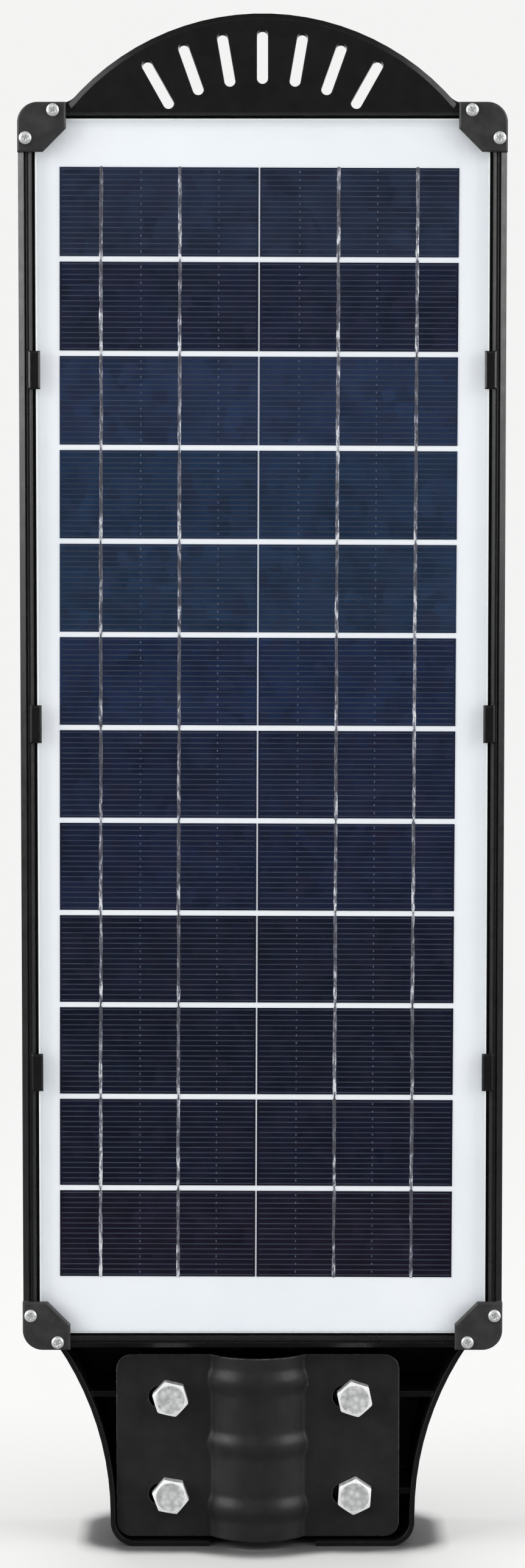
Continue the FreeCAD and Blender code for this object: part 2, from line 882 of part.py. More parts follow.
def cover_screw_places():
    """Where the six battery cover screws go, across and up from the cover's middle."""
    corners = mirrored_places("cover_screw_across", "cover_screw_up - cover_screw_inset")
    return corners + mirrored_places("cover_screw_across", "0", rows=(1,))


def lens_screw_places():
    """Where a lens cover's six screws go, across and up from its middle."""
    corners = mirrored_places("lens_screw_across", "lens_screw_up")
    return corners + mirrored_places("lens_screw_across", "0", rows=(1,))


def module_middle(index):
    """The height of a light module's middle, counted down from the handle end."""
    return f"module_top - {index} * module_pitch"


def floor_bosses():
    """Bosses inside the tray for the battery cover's screws and the boards."""
    bosses = []
    for across, up in cover_screw_places():
        bosses.append(
            peg(
                "cover_boss_radius",
                ("floor_inside - cover_boss_height", "floor_inside + floor / 2"),
                across,
                f"cover_mid + {up}",
            ),
        )
    for across, up in mirrored_places("board_hole_across", "board_hole_up"):
        bosses.append(
            peg(
                "board_boss_radius",
                ("sensor_board_top", "floor_inside + floor / 2"),
                across,
                f"sensor_up + {up}",
            ),
        )
    return bosses


def floor_cuts():
    """Openings in the light side for the cover, lenses, dome, button, indicator and remote window."""
    cuts = []
    rebate = ("cover_seat", "back_face + 1")
    through = ("floor_inside - 1", "back_face + 1")
    cuts.append(
        rounded_plate(
            "Cover_rebate",
            "cover_width + 2 * cover_fit",
            "cover_height + 2 * cover_fit",
            rebate,
            "cover_corner + cover_fit",
            up="cover_mid",
        ).body,
    )
    cuts.append(centred("cover_opening_width", "cover_opening_height", through, up="cover_mid"))
    for index in range(int(number("module_count"))):
        middle = module_middle(index)
        cuts.append(
            rounded_plate(
                "Lens_rebate",
                "lens_width + 2 * cover_fit",
                "lens_height + 2 * cover_fit",
                rebate,
                "lens_corner + cover_fit",
                up=middle,
            ).body,
        )
        cuts.append(centred("window_across_side", "lens_window_height", through, up=middle))
        for across, up in lens_screw_places():
            cuts.append(peg("screw_radius + hole_clearance", through, across, f"{middle} + {up}"))
    for across, up in cover_screw_places():
        cuts.append(
            peg(
                "screw_radius",
                ("floor_inside - cover_boss_height - 1", "back_face"),
                across,
                f"cover_mid + {up}",
            ),
        )
    for across, up in mirrored_places("board_hole_across", "board_hole_up"):
        cuts.append(
            peg("screw_radius", ("sensor_board_top - 1", "floor_inside"), across, f"sensor_up + {up}"),
        )
    cuts.append(peg("dome_radius + opening_clearance", through, "0", "sensor_up"))
    cuts.append(peg("button_radius + button_clearance", through, "0 - button_across", "sensor_up"))
    cuts.append(peg("indicator_radius + hole_clearance", through, "indicator_across", "sensor_up"))
    window = ("window_width + opening_clearance", "window_height + opening_clearance")
    cuts.append(centred(*window, through, across="window_across", up="sensor_up"))
    return cuts


def corner_signs():
    """The four corners as (name, side across, side up)."""
    return (("top_left", -1, 1), ("top_right", 1, 1), ("bottom_left", -1, -1), ("bottom_right", 1, -1))


def cap_screw_places(side, end):
    """A corner's two screws, measured in from the corner along each edge."""
    return [
        (f"{side} * (body_width / 2 - {a})", f"body_mid + {end} * (body_length / 2 - {b})")
        for a, b in (("cap_screw_long", "cap_screw_short"), ("cap_screw_short", "cap_screw_long"))
    ]


def cap_screw_holes():
    """Pilot holes in the rim for the corner caps' screws."""
    return [
        peg(
            "screw_radius",
            ("front - 1", "front + screw_length - cap_thickness + screw_bottom"),
            across,
            up,
        )
        for _, side, end in corner_signs()
        for across, up in cap_screw_places(side, end)
    ]


def housing(rim):
    """One moulding: rim, tray, handle and clamp tail."""
    outside = fuse(
        copy_of(rim.body, ("0", "rim_back", "body_mid")), tray(), handle(), *handle_roots(), tail()
    )
    hollow = cut(outside, tray_cavity(), *rim_cuts())
    strap_posts, strap_holes = strap_bosses()
    inside = fuse(hollow, *floor_bosses(), *strap_posts)
    holes = handle_slots() + tail_cuts() + floor_cuts() + cap_screw_holes() + strap_holes
    node(cut(inside, *holes), "housing")


# Fasteners


def pan_screw(length, name="Screw"):
    """A cross-head screw drawn along +Z, with its seat at zero and its shank below."""
    screw = Solid(name)
    profile = screw.sketch()
    polygon(
        profile,
        [
            ("0", f"0 - ({length})"),
            ("screw_radius", f"0 - ({length})"),
            ("screw_radius", "0"),
            ("screw_head_radius", "0"),
            ("screw_head_radius", "screw_head_height / 2"),
            ("screw_head_radius * 0.7", "screw_head_height * 0.9"),
            ("0", "screw_head_height"),
        ],
    )
    screw.revolve(profile)
    for width, height in (("cross_width", "cross_length"), ("cross_length", "cross_width")):
        drawing = screw.sketch("XY", lift="screw_head_height")
        rectangle(drawing, width, height)
        screw.pocket(drawing, "cross_depth")
    return screw.body


def hex_bolt(name, across, up, turn):
    """One clamp bolt, with its head on the plate and its shank running back to the nut."""
    bolt = Solid(
        "Bolt_head", at=(across, "plate_front", up), turn=TO_FRONT * Rotation(Vector(0, 0, 1), turn)
    )
    drawing = bolt.sketch("XY")
    hexagon(drawing, "bolt_head_across")
    bolt.pad(drawing, "bolt_head_height")
    crown = Solid("Bolt_crown", at=(across, "plate_front", up), turn=TO_FRONT)
    profile = crown.sketch()
    reach = "bolt_head_across / sqrt(3) + 0.2"
    polygon(
        profile,
        [
            ("0", "0"),
            (reach, "0"),
            (reach, "bolt_head_height * 0.85"),
            ("bolt_head_across * 0.47", "bolt_head_height"),
            ("0", "bolt_head_height"),
        ],
    )
    crown.revolve(profile)
    shank = rod("bolt_radius", "bolt_length - bolt_point", (across, "plate_front", up))
    point = doc.addObject("Part::Cone", "Point")
    bind(point, Radius1="bolt_radius", Radius2="bolt_radius - bolt_point", Height="bolt_point")
    place(point, (across, "plate_front + bolt_length - bolt_point", up), TO_BACK)
    return node(fuse(common(bolt.body, crown.body), shank, point), name)


# Clamp


def clamp_plate():
    """The pressed plate: flat wings, a half-round channel with three beads, and four slots."""
    middle = "0 - plate_shift"
    half = "plate_height / 2"
    wings = rounded_plate(
        "Wings",
        "plate_width",
        "plate_height",
        ("plate_front", "plate_back"),
        "plate_corner",
        across=middle,
    )
    rings = [rod("channel_outer", "plate_height", (middle, "0", f"0 - {half}"), UPRIGHT)]
    for i in (-1, 0, 1):
        low = f"bead_lift + {i} * bead_pitch - bead_width / 2"
        proud = "channel_outer + bead_proud"
        rings.append(
            rod(proud, "bead_width - 2 * bead_flank", (middle, "0", f"{low} + bead_flank"), UPRIGHT),
        )
        for start, first, last in (
            (low, "channel_outer", proud), (f"{low} + bead_width - bead_flank", proud, "channel_outer")
        ):
            flank = doc.addObject("Part::Cone", "Bead_flank")
            bind(flank, Radius1=first, Radius2=last, Height="bead_flank")
            rings.append(place(flank, (middle, "0", start)))
    front_part = centred(
        "plate_width", "plate_height", ("0 - 2 * channel_outer", "plate_back"), across=middle
    )
    bridge = common(fuse(*rings), front_part)
    cuts = [rod("channel_inner", "plate_height + 2", (middle, "0", f"0 - {half} - 1"), UPRIGHT)]
    through = ("plate_front - 1", "plate_back + 1")
    width = "2 * (bolt_radius + bolt_clearance)"
    for across, up in mirrored_places("bolt_across", "bolt_up"):
        place_across = f"{across} - plate_shift"
        cuts.append(centred("2 * slot_play", width, through, across=place_across, up=up))
        for side in (-1, 1):
            cuts.append(
                peg(
                    "bolt_radius + bolt_clearance", through, f"{place_across} + {side} * slot_play", up
                ),
            )
    return node(cut(fuse(wings.body, bridge), *cuts), "clamp_plate")


def clamp():
    """The plate, its four bolts and the captive nuts behind the bosses."""
    clamp_plate()
    turns = (
        "bolt_turn_top_left", "bolt_turn_top_right", "bolt_turn_bottom_left", "bolt_turn_bottom_right"
    )
    places = mirrored_places("bolt_across", "bolt_up", rows=(1, -1))
    for index, ((across, up), turn) in enumerate(zip(places, turns), start=1):
        hex_bolt(f"clamp_bolt_{index}", across, up, number(turn))
    nut = Solid("Nut")
    drawing = nut.sketch("XY")
    hexagon(drawing, "bolt_head_across")
    nut.pad(drawing, "nut_height")
    bore = nut.sketch("XY", lift="nut_height")
    circle(bore, "bolt_radius + thread_clearance")
    nut.pocket(bore, "nut_height")
    group(
        "clamp_nuts", [copy_of(nut.body, (x, "back_face - nut_inset", z), TO_FRONT) for x, z in places]
    )


# Solar panel


def panel():
    """Glass, encapsulant, cells, ribbons, backsheet, gasket and junction box."""
    size = ("panel_width", "panel_length")
    node(centred(*size, ("front", "front + glass_thickness"), up="body_mid"), "panel_glass")
    middle = ("0 - cell_shift", "0", "body_mid + cell_lift")
    cells = []
    for row in range(int(number("cell_rows"))):
        up = f"array_height / 2 - cell_height / 2 - {row} * row_pitch"
        for side in (-1, 1):
            width = "(cell_array_width - cell_split) / 2"
            across = f"{side} * (cell_split + cell_array_width) / 4"
            cells.append(
                centred(width, "cell_height", ("ribbon_back", "cell_back"), across=across, up=up),
            )
    cell_group = group("solar_cells", cells)
    ribbons = []
    for inset in ("ribbon_first", "ribbon_second"):
        for side in (-1, 1):
            across = f"{side} * (cell_array_width / 2 - {inset})"
            height = "array_height + ribbon_overrun"
            ribbons.append(
                centred(
                    "ribbon_width", height, ("front + glass_thickness", "ribbon_back"), across=across
                ),
            )
    ribbon_group = group("cell_ribbons", ribbons)
    for laid in (cell_group, ribbon_group):
        place(laid, middle, Rotation(Vector(0, 1, 0), number("cell_turn")))
    bond = centred(*size, ("front + glass_thickness", "bond_back"), up="body_mid")
    node(cut(bond, cell_group, ribbon_group), "panel_encapsulant")
    node(centred(*size, ("bond_back", "panel_back"), up="body_mid"), "panel_backsheet")
    gasket = ("panel_back", "ledge")
    node(
        cut(
            centred(*size, gasket, up="body_mid"),
            centred(
                "panel_width - 2 * gasket_width",
                "panel_length - 2 * gasket_width",
                ("panel_back - 1", "ledge + 1"),
                up="body_mid",
            ),
        ),
        "panel_gasket",
    )
    depth = ("panel_back", "panel_back + box_depth")
    box = rounded_plate(
        "panel_junction_box", "box_width", "box_height", depth, "box_corner", up="cover_mid"
    )
    node(box.body, "panel_junction_box")


def corner_caps(rim):
    """Four caps that hold the panel's corners and wrap the rim's bevelled shoulder."""
    depth = "cap_thickness + rim_shoulder"
    hole_depth = ("front - cap_thickness - 1", "front + rim_shoulder + 1")
    screw = pan_screw("screw_length")
    screws = []
    for name, side, end in corner_signs():
        corner = (
            f"{side} * body_width / 2", "front + rim_shoulder", f"body_mid + {end} * body_length / 2"
        )
        cap = Solid("Cap", at=corner)
        drawing = cap.sketch()
        polygon(
            drawing,
            [
                ("0", "0"),
                (f"{-side} * cap_across", "0"),
                (f"{-side} * cap_across", f"{-end} * (cap_up - cap_chamfer)"),
                (f"{-side} * (cap_across - cap_chamfer)", f"{-end} * cap_up"),
                ("0", f"{-end} * cap_up"),
            ],
        )
        cap.pad(drawing, depth)
        cap.fillet(
            lambda e: runs_along(1)(e) and abs(e.Vertexes[0].X) < 1e-6 and abs(e.Vertexes[0].Z) < 1e-6,
            "rim_corner",
        )
        cap.chamfer(lies_at(1, f"0 - ({depth})"), "cap_edge")
        places = cap_screw_places(side, end)
        holes = [peg("screw_radius + hole_clearance", hole_depth, across, up) for across, up in places]
        node(
            cut(cap.body, copy_of(rim.body, ("0", "rim_back", "body_mid")), *holes),
            "corner_cap_" + name,
        )
        screws += [
            copy_of(screw, (across, "front - cap_thickness", up), TO_FRONT)
            for across, up in places
        ]
    group("corner_cap_screws", screws)


def panel_clips():
    """Six small clips that bridge the gap between the rim and the panel, three on each long side."""
    clips = []
    for side in (-1, 1):
        for up in ("clip_low", "clip_mid", "clip_high"):
            middle = f"{side} * (seat_width / 2 + clip_on_rim - clip_across / 2)"
            clip = Solid("Clip", at=(middle, "front", f"body_low + {up}"))
            drawing = clip.sketch()
            rectangle(drawing, "clip_across", "clip_length")
            clip.pad(drawing, "clip_thickness")
            clip.chamfer(lies_at(1, "0 - clip_thickness"), "clip_bevel")
            lip = centred(
                "seat_gap - lip_clearance",
                "clip_length - 2 * lip_inset",
                ("front - clip_thickness / 2", "front + lip_depth"),
                across=f"{side} * (seat_width / 2 - seat_gap / 2)",
                up=f"body_low + {up}",
            )
            clips.append(fuse(clip.body, lip))
    group("panel_clips", clips)


# Battery


def battery():
    """Eight cells in two columns, their strips, cradle, straps and cover."""
    rows = [f"cover_mid + ({i} - 1.5) * cell_can_pitch" for i in range(4)]
    cans = []
    beds = []
    strips = []
    for up in rows:
        for side in (-1, 1):
            start = "cell_can_gap / 2" if side > 0 else "0 - battery_half_length"
            cans.append(rod("cell_can_radius", "cell_can_length", (start, "battery_axis", up), ALONG_X))
        beds.append(
            rod(
                "cell_can_radius + cell_can_clearance",
                "2 * battery_half_length + 2",
                ("0 - battery_half_length - 1", "battery_axis", up),
                ALONG_X,
            ),
        )
    group("battery_cells", cans)
    for side in (-1, 1):
        start = "battery_half_length" if side > 0 else "0 - battery_half_length - strip_thickness"
        strips.append(
            block(
                (start, f"({start}) + strip_thickness"),
                ("battery_axis - strip_width / 2", "battery_axis + strip_width / 2"),
                (f"{rows[0]} - strip_width", f"{rows[3]} + strip_width"),
            )
        )
    group("battery_strips", strips)
    cradle = centred(
        "2 * (battery_half_length - cradle_inset)", "4 * cell_can_pitch - 2 * cradle_inset",
        ("battery_low - cradle_height + cradle_wall", "battery_low + cradle_wall"), up="cover_mid",
    )
    node(cut(cradle, *beds), "battery_cradle")
    straps = []
    screws = []
    screw = pan_screw("screw_short_length", "Short_screw")
    leg_depth = ("strap_top - strap_thickness", "strap_sole")
    sole_depth = ("strap_sole - strap_thickness", "strap_sole")
    hole_depth = ("strap_sole - strap_foot / 2", "strap_sole + 1")
    for step in (-1, 1):
        up = f"cover_mid + {step} * cell_can_pitch"
        bridge_depth = ("strap_top - strap_thickness", "strap_top")
        pieces = [centred("2 * (strap_leg + strap_thickness)", "strap_width", bridge_depth, up=up)]
        holes = []
        for side in (-1, 1):
            leg = f"{side} * (strap_leg + strap_thickness / 2)"
            sole = f"{side} * (strap_leg + strap_foot / 2)"
            hole = f"{side} * strap_hole"
            pieces.append(centred("strap_thickness", "strap_width", leg_depth, across=leg, up=up))
            pieces.append(centred("strap_foot", "strap_width", sole_depth, across=sole, up=up))
            screws.append(copy_of(screw, (hole, "strap_sole - strap_thickness", up), TO_FRONT))
            holes.append(peg("screw_radius + hole_clearance", hole_depth, hole, up))
        straps.append(cut(fuse(*pieces), *holes))
    group("battery_straps", straps)
    group("battery_strap_screws", screws)


def strap_bosses():
    """Bosses on the tray's floor for the battery straps' feet, and their pilot holes."""
    bosses = []
    holes = []
    for step in (-1, 1):
        for side in (-1, 1):
            across = f"{side} * strap_hole"
            up = f"cover_mid + {step} * cell_can_pitch"
            bosses.append(
                peg(
                    "board_boss_radius",
                    ("floor_inside - board_boss_height", "floor_inside + floor / 4"),
                    across,
                    up,
                ),
            )
            holes.append(
                peg(
                    "screw_radius", ("floor_inside - board_boss_height - 1", "floor_inside"), across, up
                ),
            )
    return bosses, holes


def ring_gasket(width, height, band, depth, up):
    """A flat seal: a rectangular ring that faces Y."""
    return cut(
        centred(width, height, depth, up=up),
        centred(
            f"({width}) - 2 * ({band})",
            f"({height}) - 2 * ({band})",
            (f"{depth[0]} - 1", f"{depth[1]} + 1"),
            up=up,
        ),
    )


def battery_cover():
    """The screwed cover on the light side, with a field of low ribs, its gasket and six screws."""
    cover = rounded_plate("Cover", "cover_width", "cover_height",
                          ("cover_face - cover_thickness", "cover_face"), "cover_corner", up="cover_mid")
    cover.chamfer(lies_at(1, "cover_thickness"), "cap_edge")
    for i in range(int(number("cover_rib_count"))):
        rib = cover.sketch(
            up=f"({i} - (cover_rib_count - 1) / 2) * cover_rib_pitch", lift="0 - cover_thickness"
        )
        rectangle(rib, "cover_width - 2 * (cover_land + cover_rib_inset)", "cover_rib_width")
        cover.pad(rib, "cover_rib_height", taper="0 - cover_rib_slope", reversed=True)
    screw = pan_screw("screw_length", "Cover_screw")
    holes = [
        peg(
            "screw_radius + hole_clearance", ("cover_seat - 1", "cover_face + 1"), a, f"cover_mid + {u}"
        )
        for a, u in cover_screw_places()
    ]
    node(cut(cover.body, *holes), "battery_cover")
    gasket_depth = ("cover_seat", "cover_seat + cover_gasket")
    node(
        ring_gasket(
            "cover_opening_width + 2 * cover_gasket_band",
            "cover_opening_height + 2 * cover_gasket_band",
            "cover_gasket_band",
            gasket_depth,
            "cover_mid",
        ),
        "battery_cover_gasket",
    )
    places = [(a, "cover_face", f"cover_mid + {u}") for a, u in cover_screw_places()]
    group("battery_cover_screws", [copy_of(screw, at, TO_BACK) for at in places])


# Light modules


def reflector(index):
    """A tray of square cups with a flange behind the lens opening and screw bosses."""
    middle = module_middle(index)
    base = rounded_plate(
        "Flange",
        "lens_width",
        "lens_height",
        ("floor_inside - reflector_flange", "floor_inside"),
        "lens_corner",
        up=middle,
    )
    cups = centred(
        "cup_columns * cup_pitch_across",
        "cup_rows * cup_pitch_up",
        ("reflector_bottom", "floor_inside - 1"),
        up=middle,
    )
    bosses = [
        peg(
            "board_boss_radius",
            ("floor_inside - reflector_flange - reflector_boss_height", "floor_inside - 1"),
            a,
            f"{middle} + {u}",
        )
        for a, u in lens_screw_places()
    ]
    tools = [
        peg(
            "screw_radius",
            ("floor_inside - reflector_flange - reflector_boss_height - 1", "floor_inside + 1"),
            a,
            f"{middle} + {u}",
        )
        for a, u in lens_screw_places()
    ]
    cup = Solid("Cup")
    drawing = cup.sketch("XY")
    rectangle(drawing, "cup_mouth", "cup_mouth")
    depth = "floor_inside - reflector_bottom"
    cup.pad(drawing, depth, taper="0 - cup_slope")
    for across, up in cup_places():
        tools.append(copy_of(cup.body, (across, "floor_inside", f"{middle} + {up}"), TO_FRONT))
    return node(cut(fuse(base.body, cups, *bosses), *tools), f"reflector_{index + 1}")


def cup_places():
    """The middles of a module's reflector cups."""
    columns, rows = int(number("cup_columns")), int(number("cup_rows"))
    return [
        (
            f"({c} - (cup_columns - 1) / 2) * cup_pitch_across",
            f"({r} - (cup_rows - 1) / 2) * cup_pitch_up",
        )
        for r in range(rows)
        for c in range(columns)
    ]


def lens_cover(index):
    """A clear cover: a flange with six holes and a raised, hollow window."""
    middle = module_middle(index)
    face = "lens_face - lens_thickness"
    lens = rounded_plate(
        "Lens", "lens_width", "lens_height", (face, "lens_face"), "lens_corner", up=middle
    )
    bulge = lens.sketch(lift="0 - lens_thickness")
    rectangle(bulge, "window_across_side - 2 * lens_fit", "lens_window_height - 2 * lens_fit")
    lens.pad(bulge, "lens_bulge", taper="0 - lens_slope", reversed=True)
    lens.fillet(lies_at(1, "lens_thickness + lens_bulge"), "lens_round")
    hollow = lens.sketch()
    rectangle(hollow, "window_across_side - 2 * lens_step", "lens_window_height - 2 * lens_step")
    lens.pocket(hollow, "lens_bulge", taper="0 - lens_slope")
    holes = [
        peg("screw_radius + hole_clearance", (f"{face} - 1", "lens_face + 1"), a, f"{middle} + {u}")
        for a, u in lens_screw_places()
    ]
    return node(cut(lens.body, *holes), f"led_lens_{index + 1}")


def light_modules():
    """Three modules of reflector, LED board, chips, lens, gasket and screws."""
    chips, gaskets, screws = [], [], []
    screw = pan_screw("screw_lens_length", "Lens_screw")
    for index in range(int(number("module_count"))):
        middle = module_middle(index)
        reflector(index)
        lens_cover(index)
        board_depth = ("reflector_bottom - led_board_thickness", "reflector_bottom")
        node(
            centred(
                "cup_columns * cup_pitch_across", "cup_rows * cup_pitch_up", board_depth, up=middle
            ),
            f"led_board_{index + 1}",
        )
        chip_depth = ("reflector_bottom", "reflector_bottom + led_chip_height")
        chips += [
            centred("led_chip", "led_chip", chip_depth, across=a, up=f"{middle} + {u}")
            for a, u in cup_places()
        ]
        ring = (
            "window_across_side + 2 * lens_gasket_spread", "lens_window_height + 2 * lens_gasket_spread"
        )
        seal_depth = ("cover_seat", "cover_seat + cover_gasket")
        gaskets.append(ring_gasket(*ring, "lens_gasket_band", seal_depth, middle))
        screws += [
            copy_of(screw, (a, "lens_face", f"{middle} + {u}"), TO_BACK)
            for a, u in lens_screw_places()
        ]
    group("led_chips", chips)
    group("led_lens_gaskets", gaskets)
    group("led_lens_screws", screws)


# Boards, sensor, switch and wires


def boards():
    """The sensor board, the controller board above it, their standoffs, screws and main components."""
    up = "sensor_up"
    holes = mirrored_places("board_hole_across", "board_hole_up")
    for name, low, high in (
        ("sensor_board", "sensor_board_bottom", "sensor_board_top"),
        ("controller_board", "control_board_bottom", "control_board_top"),
    ):
        board = centred("board_width", "board_height", (low, high), up=up)
        drills = [
            peg("screw_radius + hole_clearance", (f"{low} - 1", f"{high} + 1"), a, f"sensor_up + {u}")
            for a, u in holes
        ]
        node(cut(board, *drills), name)
    standoffs = []
    for across, rise in holes:
        depth = ("control_board_top", "sensor_board_bottom")
        body = peg("standoff_radius", depth, across, f"sensor_up + {rise}")
        bore = peg(
            "screw_radius + standoff_clearance",
            ("control_board_top - 1", "sensor_board_bottom + 1"),
            across,
            f"sensor_up + {rise}",
        )
        standoffs.append(cut(body, bore))
    group("board_standoffs", standoffs)
    screw = pan_screw("standoff_height + 2 * board_thickness + board_screw_bite", "Board_screw")
    group(
        "board_screws",
        [copy_of(screw, (a, "control_board_bottom", f"sensor_up + {u}"), TO_FRONT) for a, u in holes],
    )
    face = "control_board_bottom"
    coil_place = ("0 - coil_across", up)
    coil = peg("coil_radius", (f"{face} - coil_height", face), *coil_place)
    bore = peg("coil_bore", (f"{face} - coil_height - 1", f"{face} + 1"), *coil_place)
    node(cut(coil, bore), "controller_inductor")
    can_depth = (f"{face} - capacitor_height", face)
    cans = [
        peg("capacitor_radius", can_depth, f"{side} * capacitor_spacing / 2 - capacitor_across", up)
        for side in (-1, 1)
    ]
    group("controller_capacitors", cans)
    sink = centred(
        "sink_width", "sink_height", (f"{face} - sink_base", face), across="sink_across", up=up
    )
    fin_depth = (f"{face} - sink_depth", face)
    fins = [
        centred(
            "fin_thickness",
            "sink_height",
            fin_depth,
            across=f"sink_across + ({i} - (fin_count - 1) / 2) * fin_pitch",
            up=up,
        )
        for i in range(int(number("fin_count")))
    ]
    node(fuse(sink, *fins), "controller_heatsink")
    socket = ("connector_width", "connector_height", (f"{face} - connector_depth", face))
    group(
        "controller_connectors",
        [
            centred(*socket, across=across, up="sensor_up - connector_drop")
            for across in ("0 - panel_connector", "battery_connector", "led_connector")
        ],
    )


def sensor():
    """The motion sensor with its dome and seal, the receiver, indicator and remote window."""
    up = "sensor_up"
    can_depth = ("sensor_board_top", "sensor_board_top + sensor_can_height")
    node(peg("sensor_can_radius", can_depth, "0", up), "motion_sensor")
    dome = Solid("sensor_dome", at=("0", "floor_inside", up), turn=TO_BACK)
    profile = dome.sketch()
    flange = "dome_radius + dome_flange"
    polygon(
        profile,
        [
            ("dome_radius - dome_wall", "0 - dome_flange_thickness"),
            (flange, "0 - dome_flange_thickness"),
            (flange, "0"),
            ("dome_radius", "0"),
            ("dome_radius", "floor + dome_proud * 0.25"),
            ("dome_radius * 0.8", "floor + dome_proud * 0.75"),
            ("dome_radius * 0.4", "floor + dome_proud"),
            ("0", "floor + dome_proud"),
            ("0", "floor + dome_proud - dome_wall"),
            ("dome_radius * 0.4 - dome_wall / 2", "floor + dome_proud - dome_wall"),
            ("dome_radius * 0.8 - dome_wall", "floor + dome_proud * 0.75 - dome_wall / 2"),
            ("dome_radius - dome_wall", "floor + dome_proud * 0.25 - dome_wall / 2"),
        ],
    )
    dome.revolve(profile)
    node(dome.body, "sensor_dome")
    seal_depth = ("back_face", "back_face + seal_section")
    bore_depth = ("back_face - 1", "back_face + seal_section + 1")
    seal = peg("dome_radius + seal_width", seal_depth, "0", up)
    node(cut(seal, peg("dome_radius + hole_clearance", bore_depth, "0", up)), "sensor_dome_seal")
    receiver_depth = ("sensor_board_top", "sensor_board_top + receiver_depth")
    led_depth = ("sensor_board_top", "sensor_board_top + indicator_led_height")
    group(
        "sensor_components",
        [
            centred("receiver_width", "receiver_height", receiver_depth, across="window_across", up=up),
            peg("indicator_led_radius", led_depth, "indicator_across", up),
        ],
    )
    pipe_depth = ("sensor_board_top + pipe_gap", "back_face + pipe_proud")
    lip_depth = ("floor_inside - pipe_lip", "floor_inside")
    pipe = fuse(
        peg("indicator_radius", pipe_depth, "indicator_across", up),
        peg("indicator_radius + pipe_lip", lip_depth, "indicator_across", up),
    )
    node(pipe, "indicator_light_pipe")
    pane = ("window_width", "window_height", ("floor_inside", "back_face - window_inset"))
    lip = (
        "window_width + 2 * window_lip",
        "window_height + 2 * window_lip",
        ("floor_inside - window_lip_depth", "floor_inside"),
    )
    window = fuse(*[centred(*plate, across="window_across", up=up) for plate in (pane, lip)])
    node(window, "remote_window")


def switch():
    """The power switch on the board, the sprung push button and the bezel round it."""
    across, up = "0 - button_across", "sensor_up"
    body = centred(
        "switch_size", "switch_size", ("sensor_board_top", "switch_top"), across=across, up=up
    )
    bore = peg(
        "plunger_radius + button_clearance",
        ("sensor_board_top + plunger_floor", "switch_top + 1"),
        across,
        up,
    )
    node(cut(body, bore), "power_switch")
    flange_back = "floor_inside - button_play"
    button = Solid("power_button", at=(across, flange_back, up), turn=TO_BACK)
    profile = button.sketch()
    polygon(
        profile,
        [
            ("0", "0 - button_flange - switch_stem"),
            ("plunger_radius", "0 - button_flange - switch_stem"),
            ("plunger_radius", "0 - button_flange"),
            ("button_radius + button_lip", "0 - button_flange"),
            ("button_radius + button_lip", "0"),
            ("button_radius", "0"),
            ("button_radius", "floor + button_proud - button_bevel"),
            ("button_radius - button_bevel", "floor + button_proud"),
            ("0", "floor + button_proud - button_dish"),
        ],
    )
    button.revolve(profile)
    node(button.body, "power_button")
    bezel = Solid("power_button_bezel", at=(across, "back_face", up), turn=TO_BACK)
    profile = bezel.sketch()
    inner = "button_radius + button_clearance"
    polygon(
        profile,
        [
            (inner, "0"),
            (f"{inner} + bezel_width", "0"),
            (f"{inner} + bezel_width", "bezel_height * 0.4"),
            (f"{inner} + bezel_width - bezel_bevel", "bezel_height"),
            (f"{inner}", "bezel_height"),
        ],
    )
    bezel.revolve(profile)
    node(bezel.body, "power_button_bezel")


def wire(points):
    """A round insulated wire along straight runs joined by tangent arcs."""
    radius, bend = number("lead_radius"), number("lead_bend")
    places = [Vector(*(number(c) for c in point)) for point in points]
    edges = []
    start = places[0]
    for before, corner, after in zip(places, places[1:], places[2:]):
        back, ahead = (before - corner).normalize(), (after - corner).normalize()
        trim = min(bend, 0.45 * (before - corner).Length, 0.45 * (after - corner).Length)
        arc_radius = trim * abs((back - ahead).Length) / (back + ahead).Length
        middle_way = (back + ahead).normalize()
        distance = (trim * trim + arc_radius * arc_radius) ** 0.5
        enter, leave = corner + back * trim, corner + ahead * trim
        edges.append(Part.LineSegment(start, enter).toShape())
        edges.append(Part.Arc(enter, corner + middle_way * (distance - arc_radius), leave).toShape())
        start = leave
    edges.append(Part.LineSegment(start, places[-1]).toShape())
    path = Part.Wire(edges)
    way = (places[1] - places[0]).normalize()
    section = Part.Wire(Part.Circle(places[0], way, radius).toShape())
    return path.makePipeShell([section], True, False)


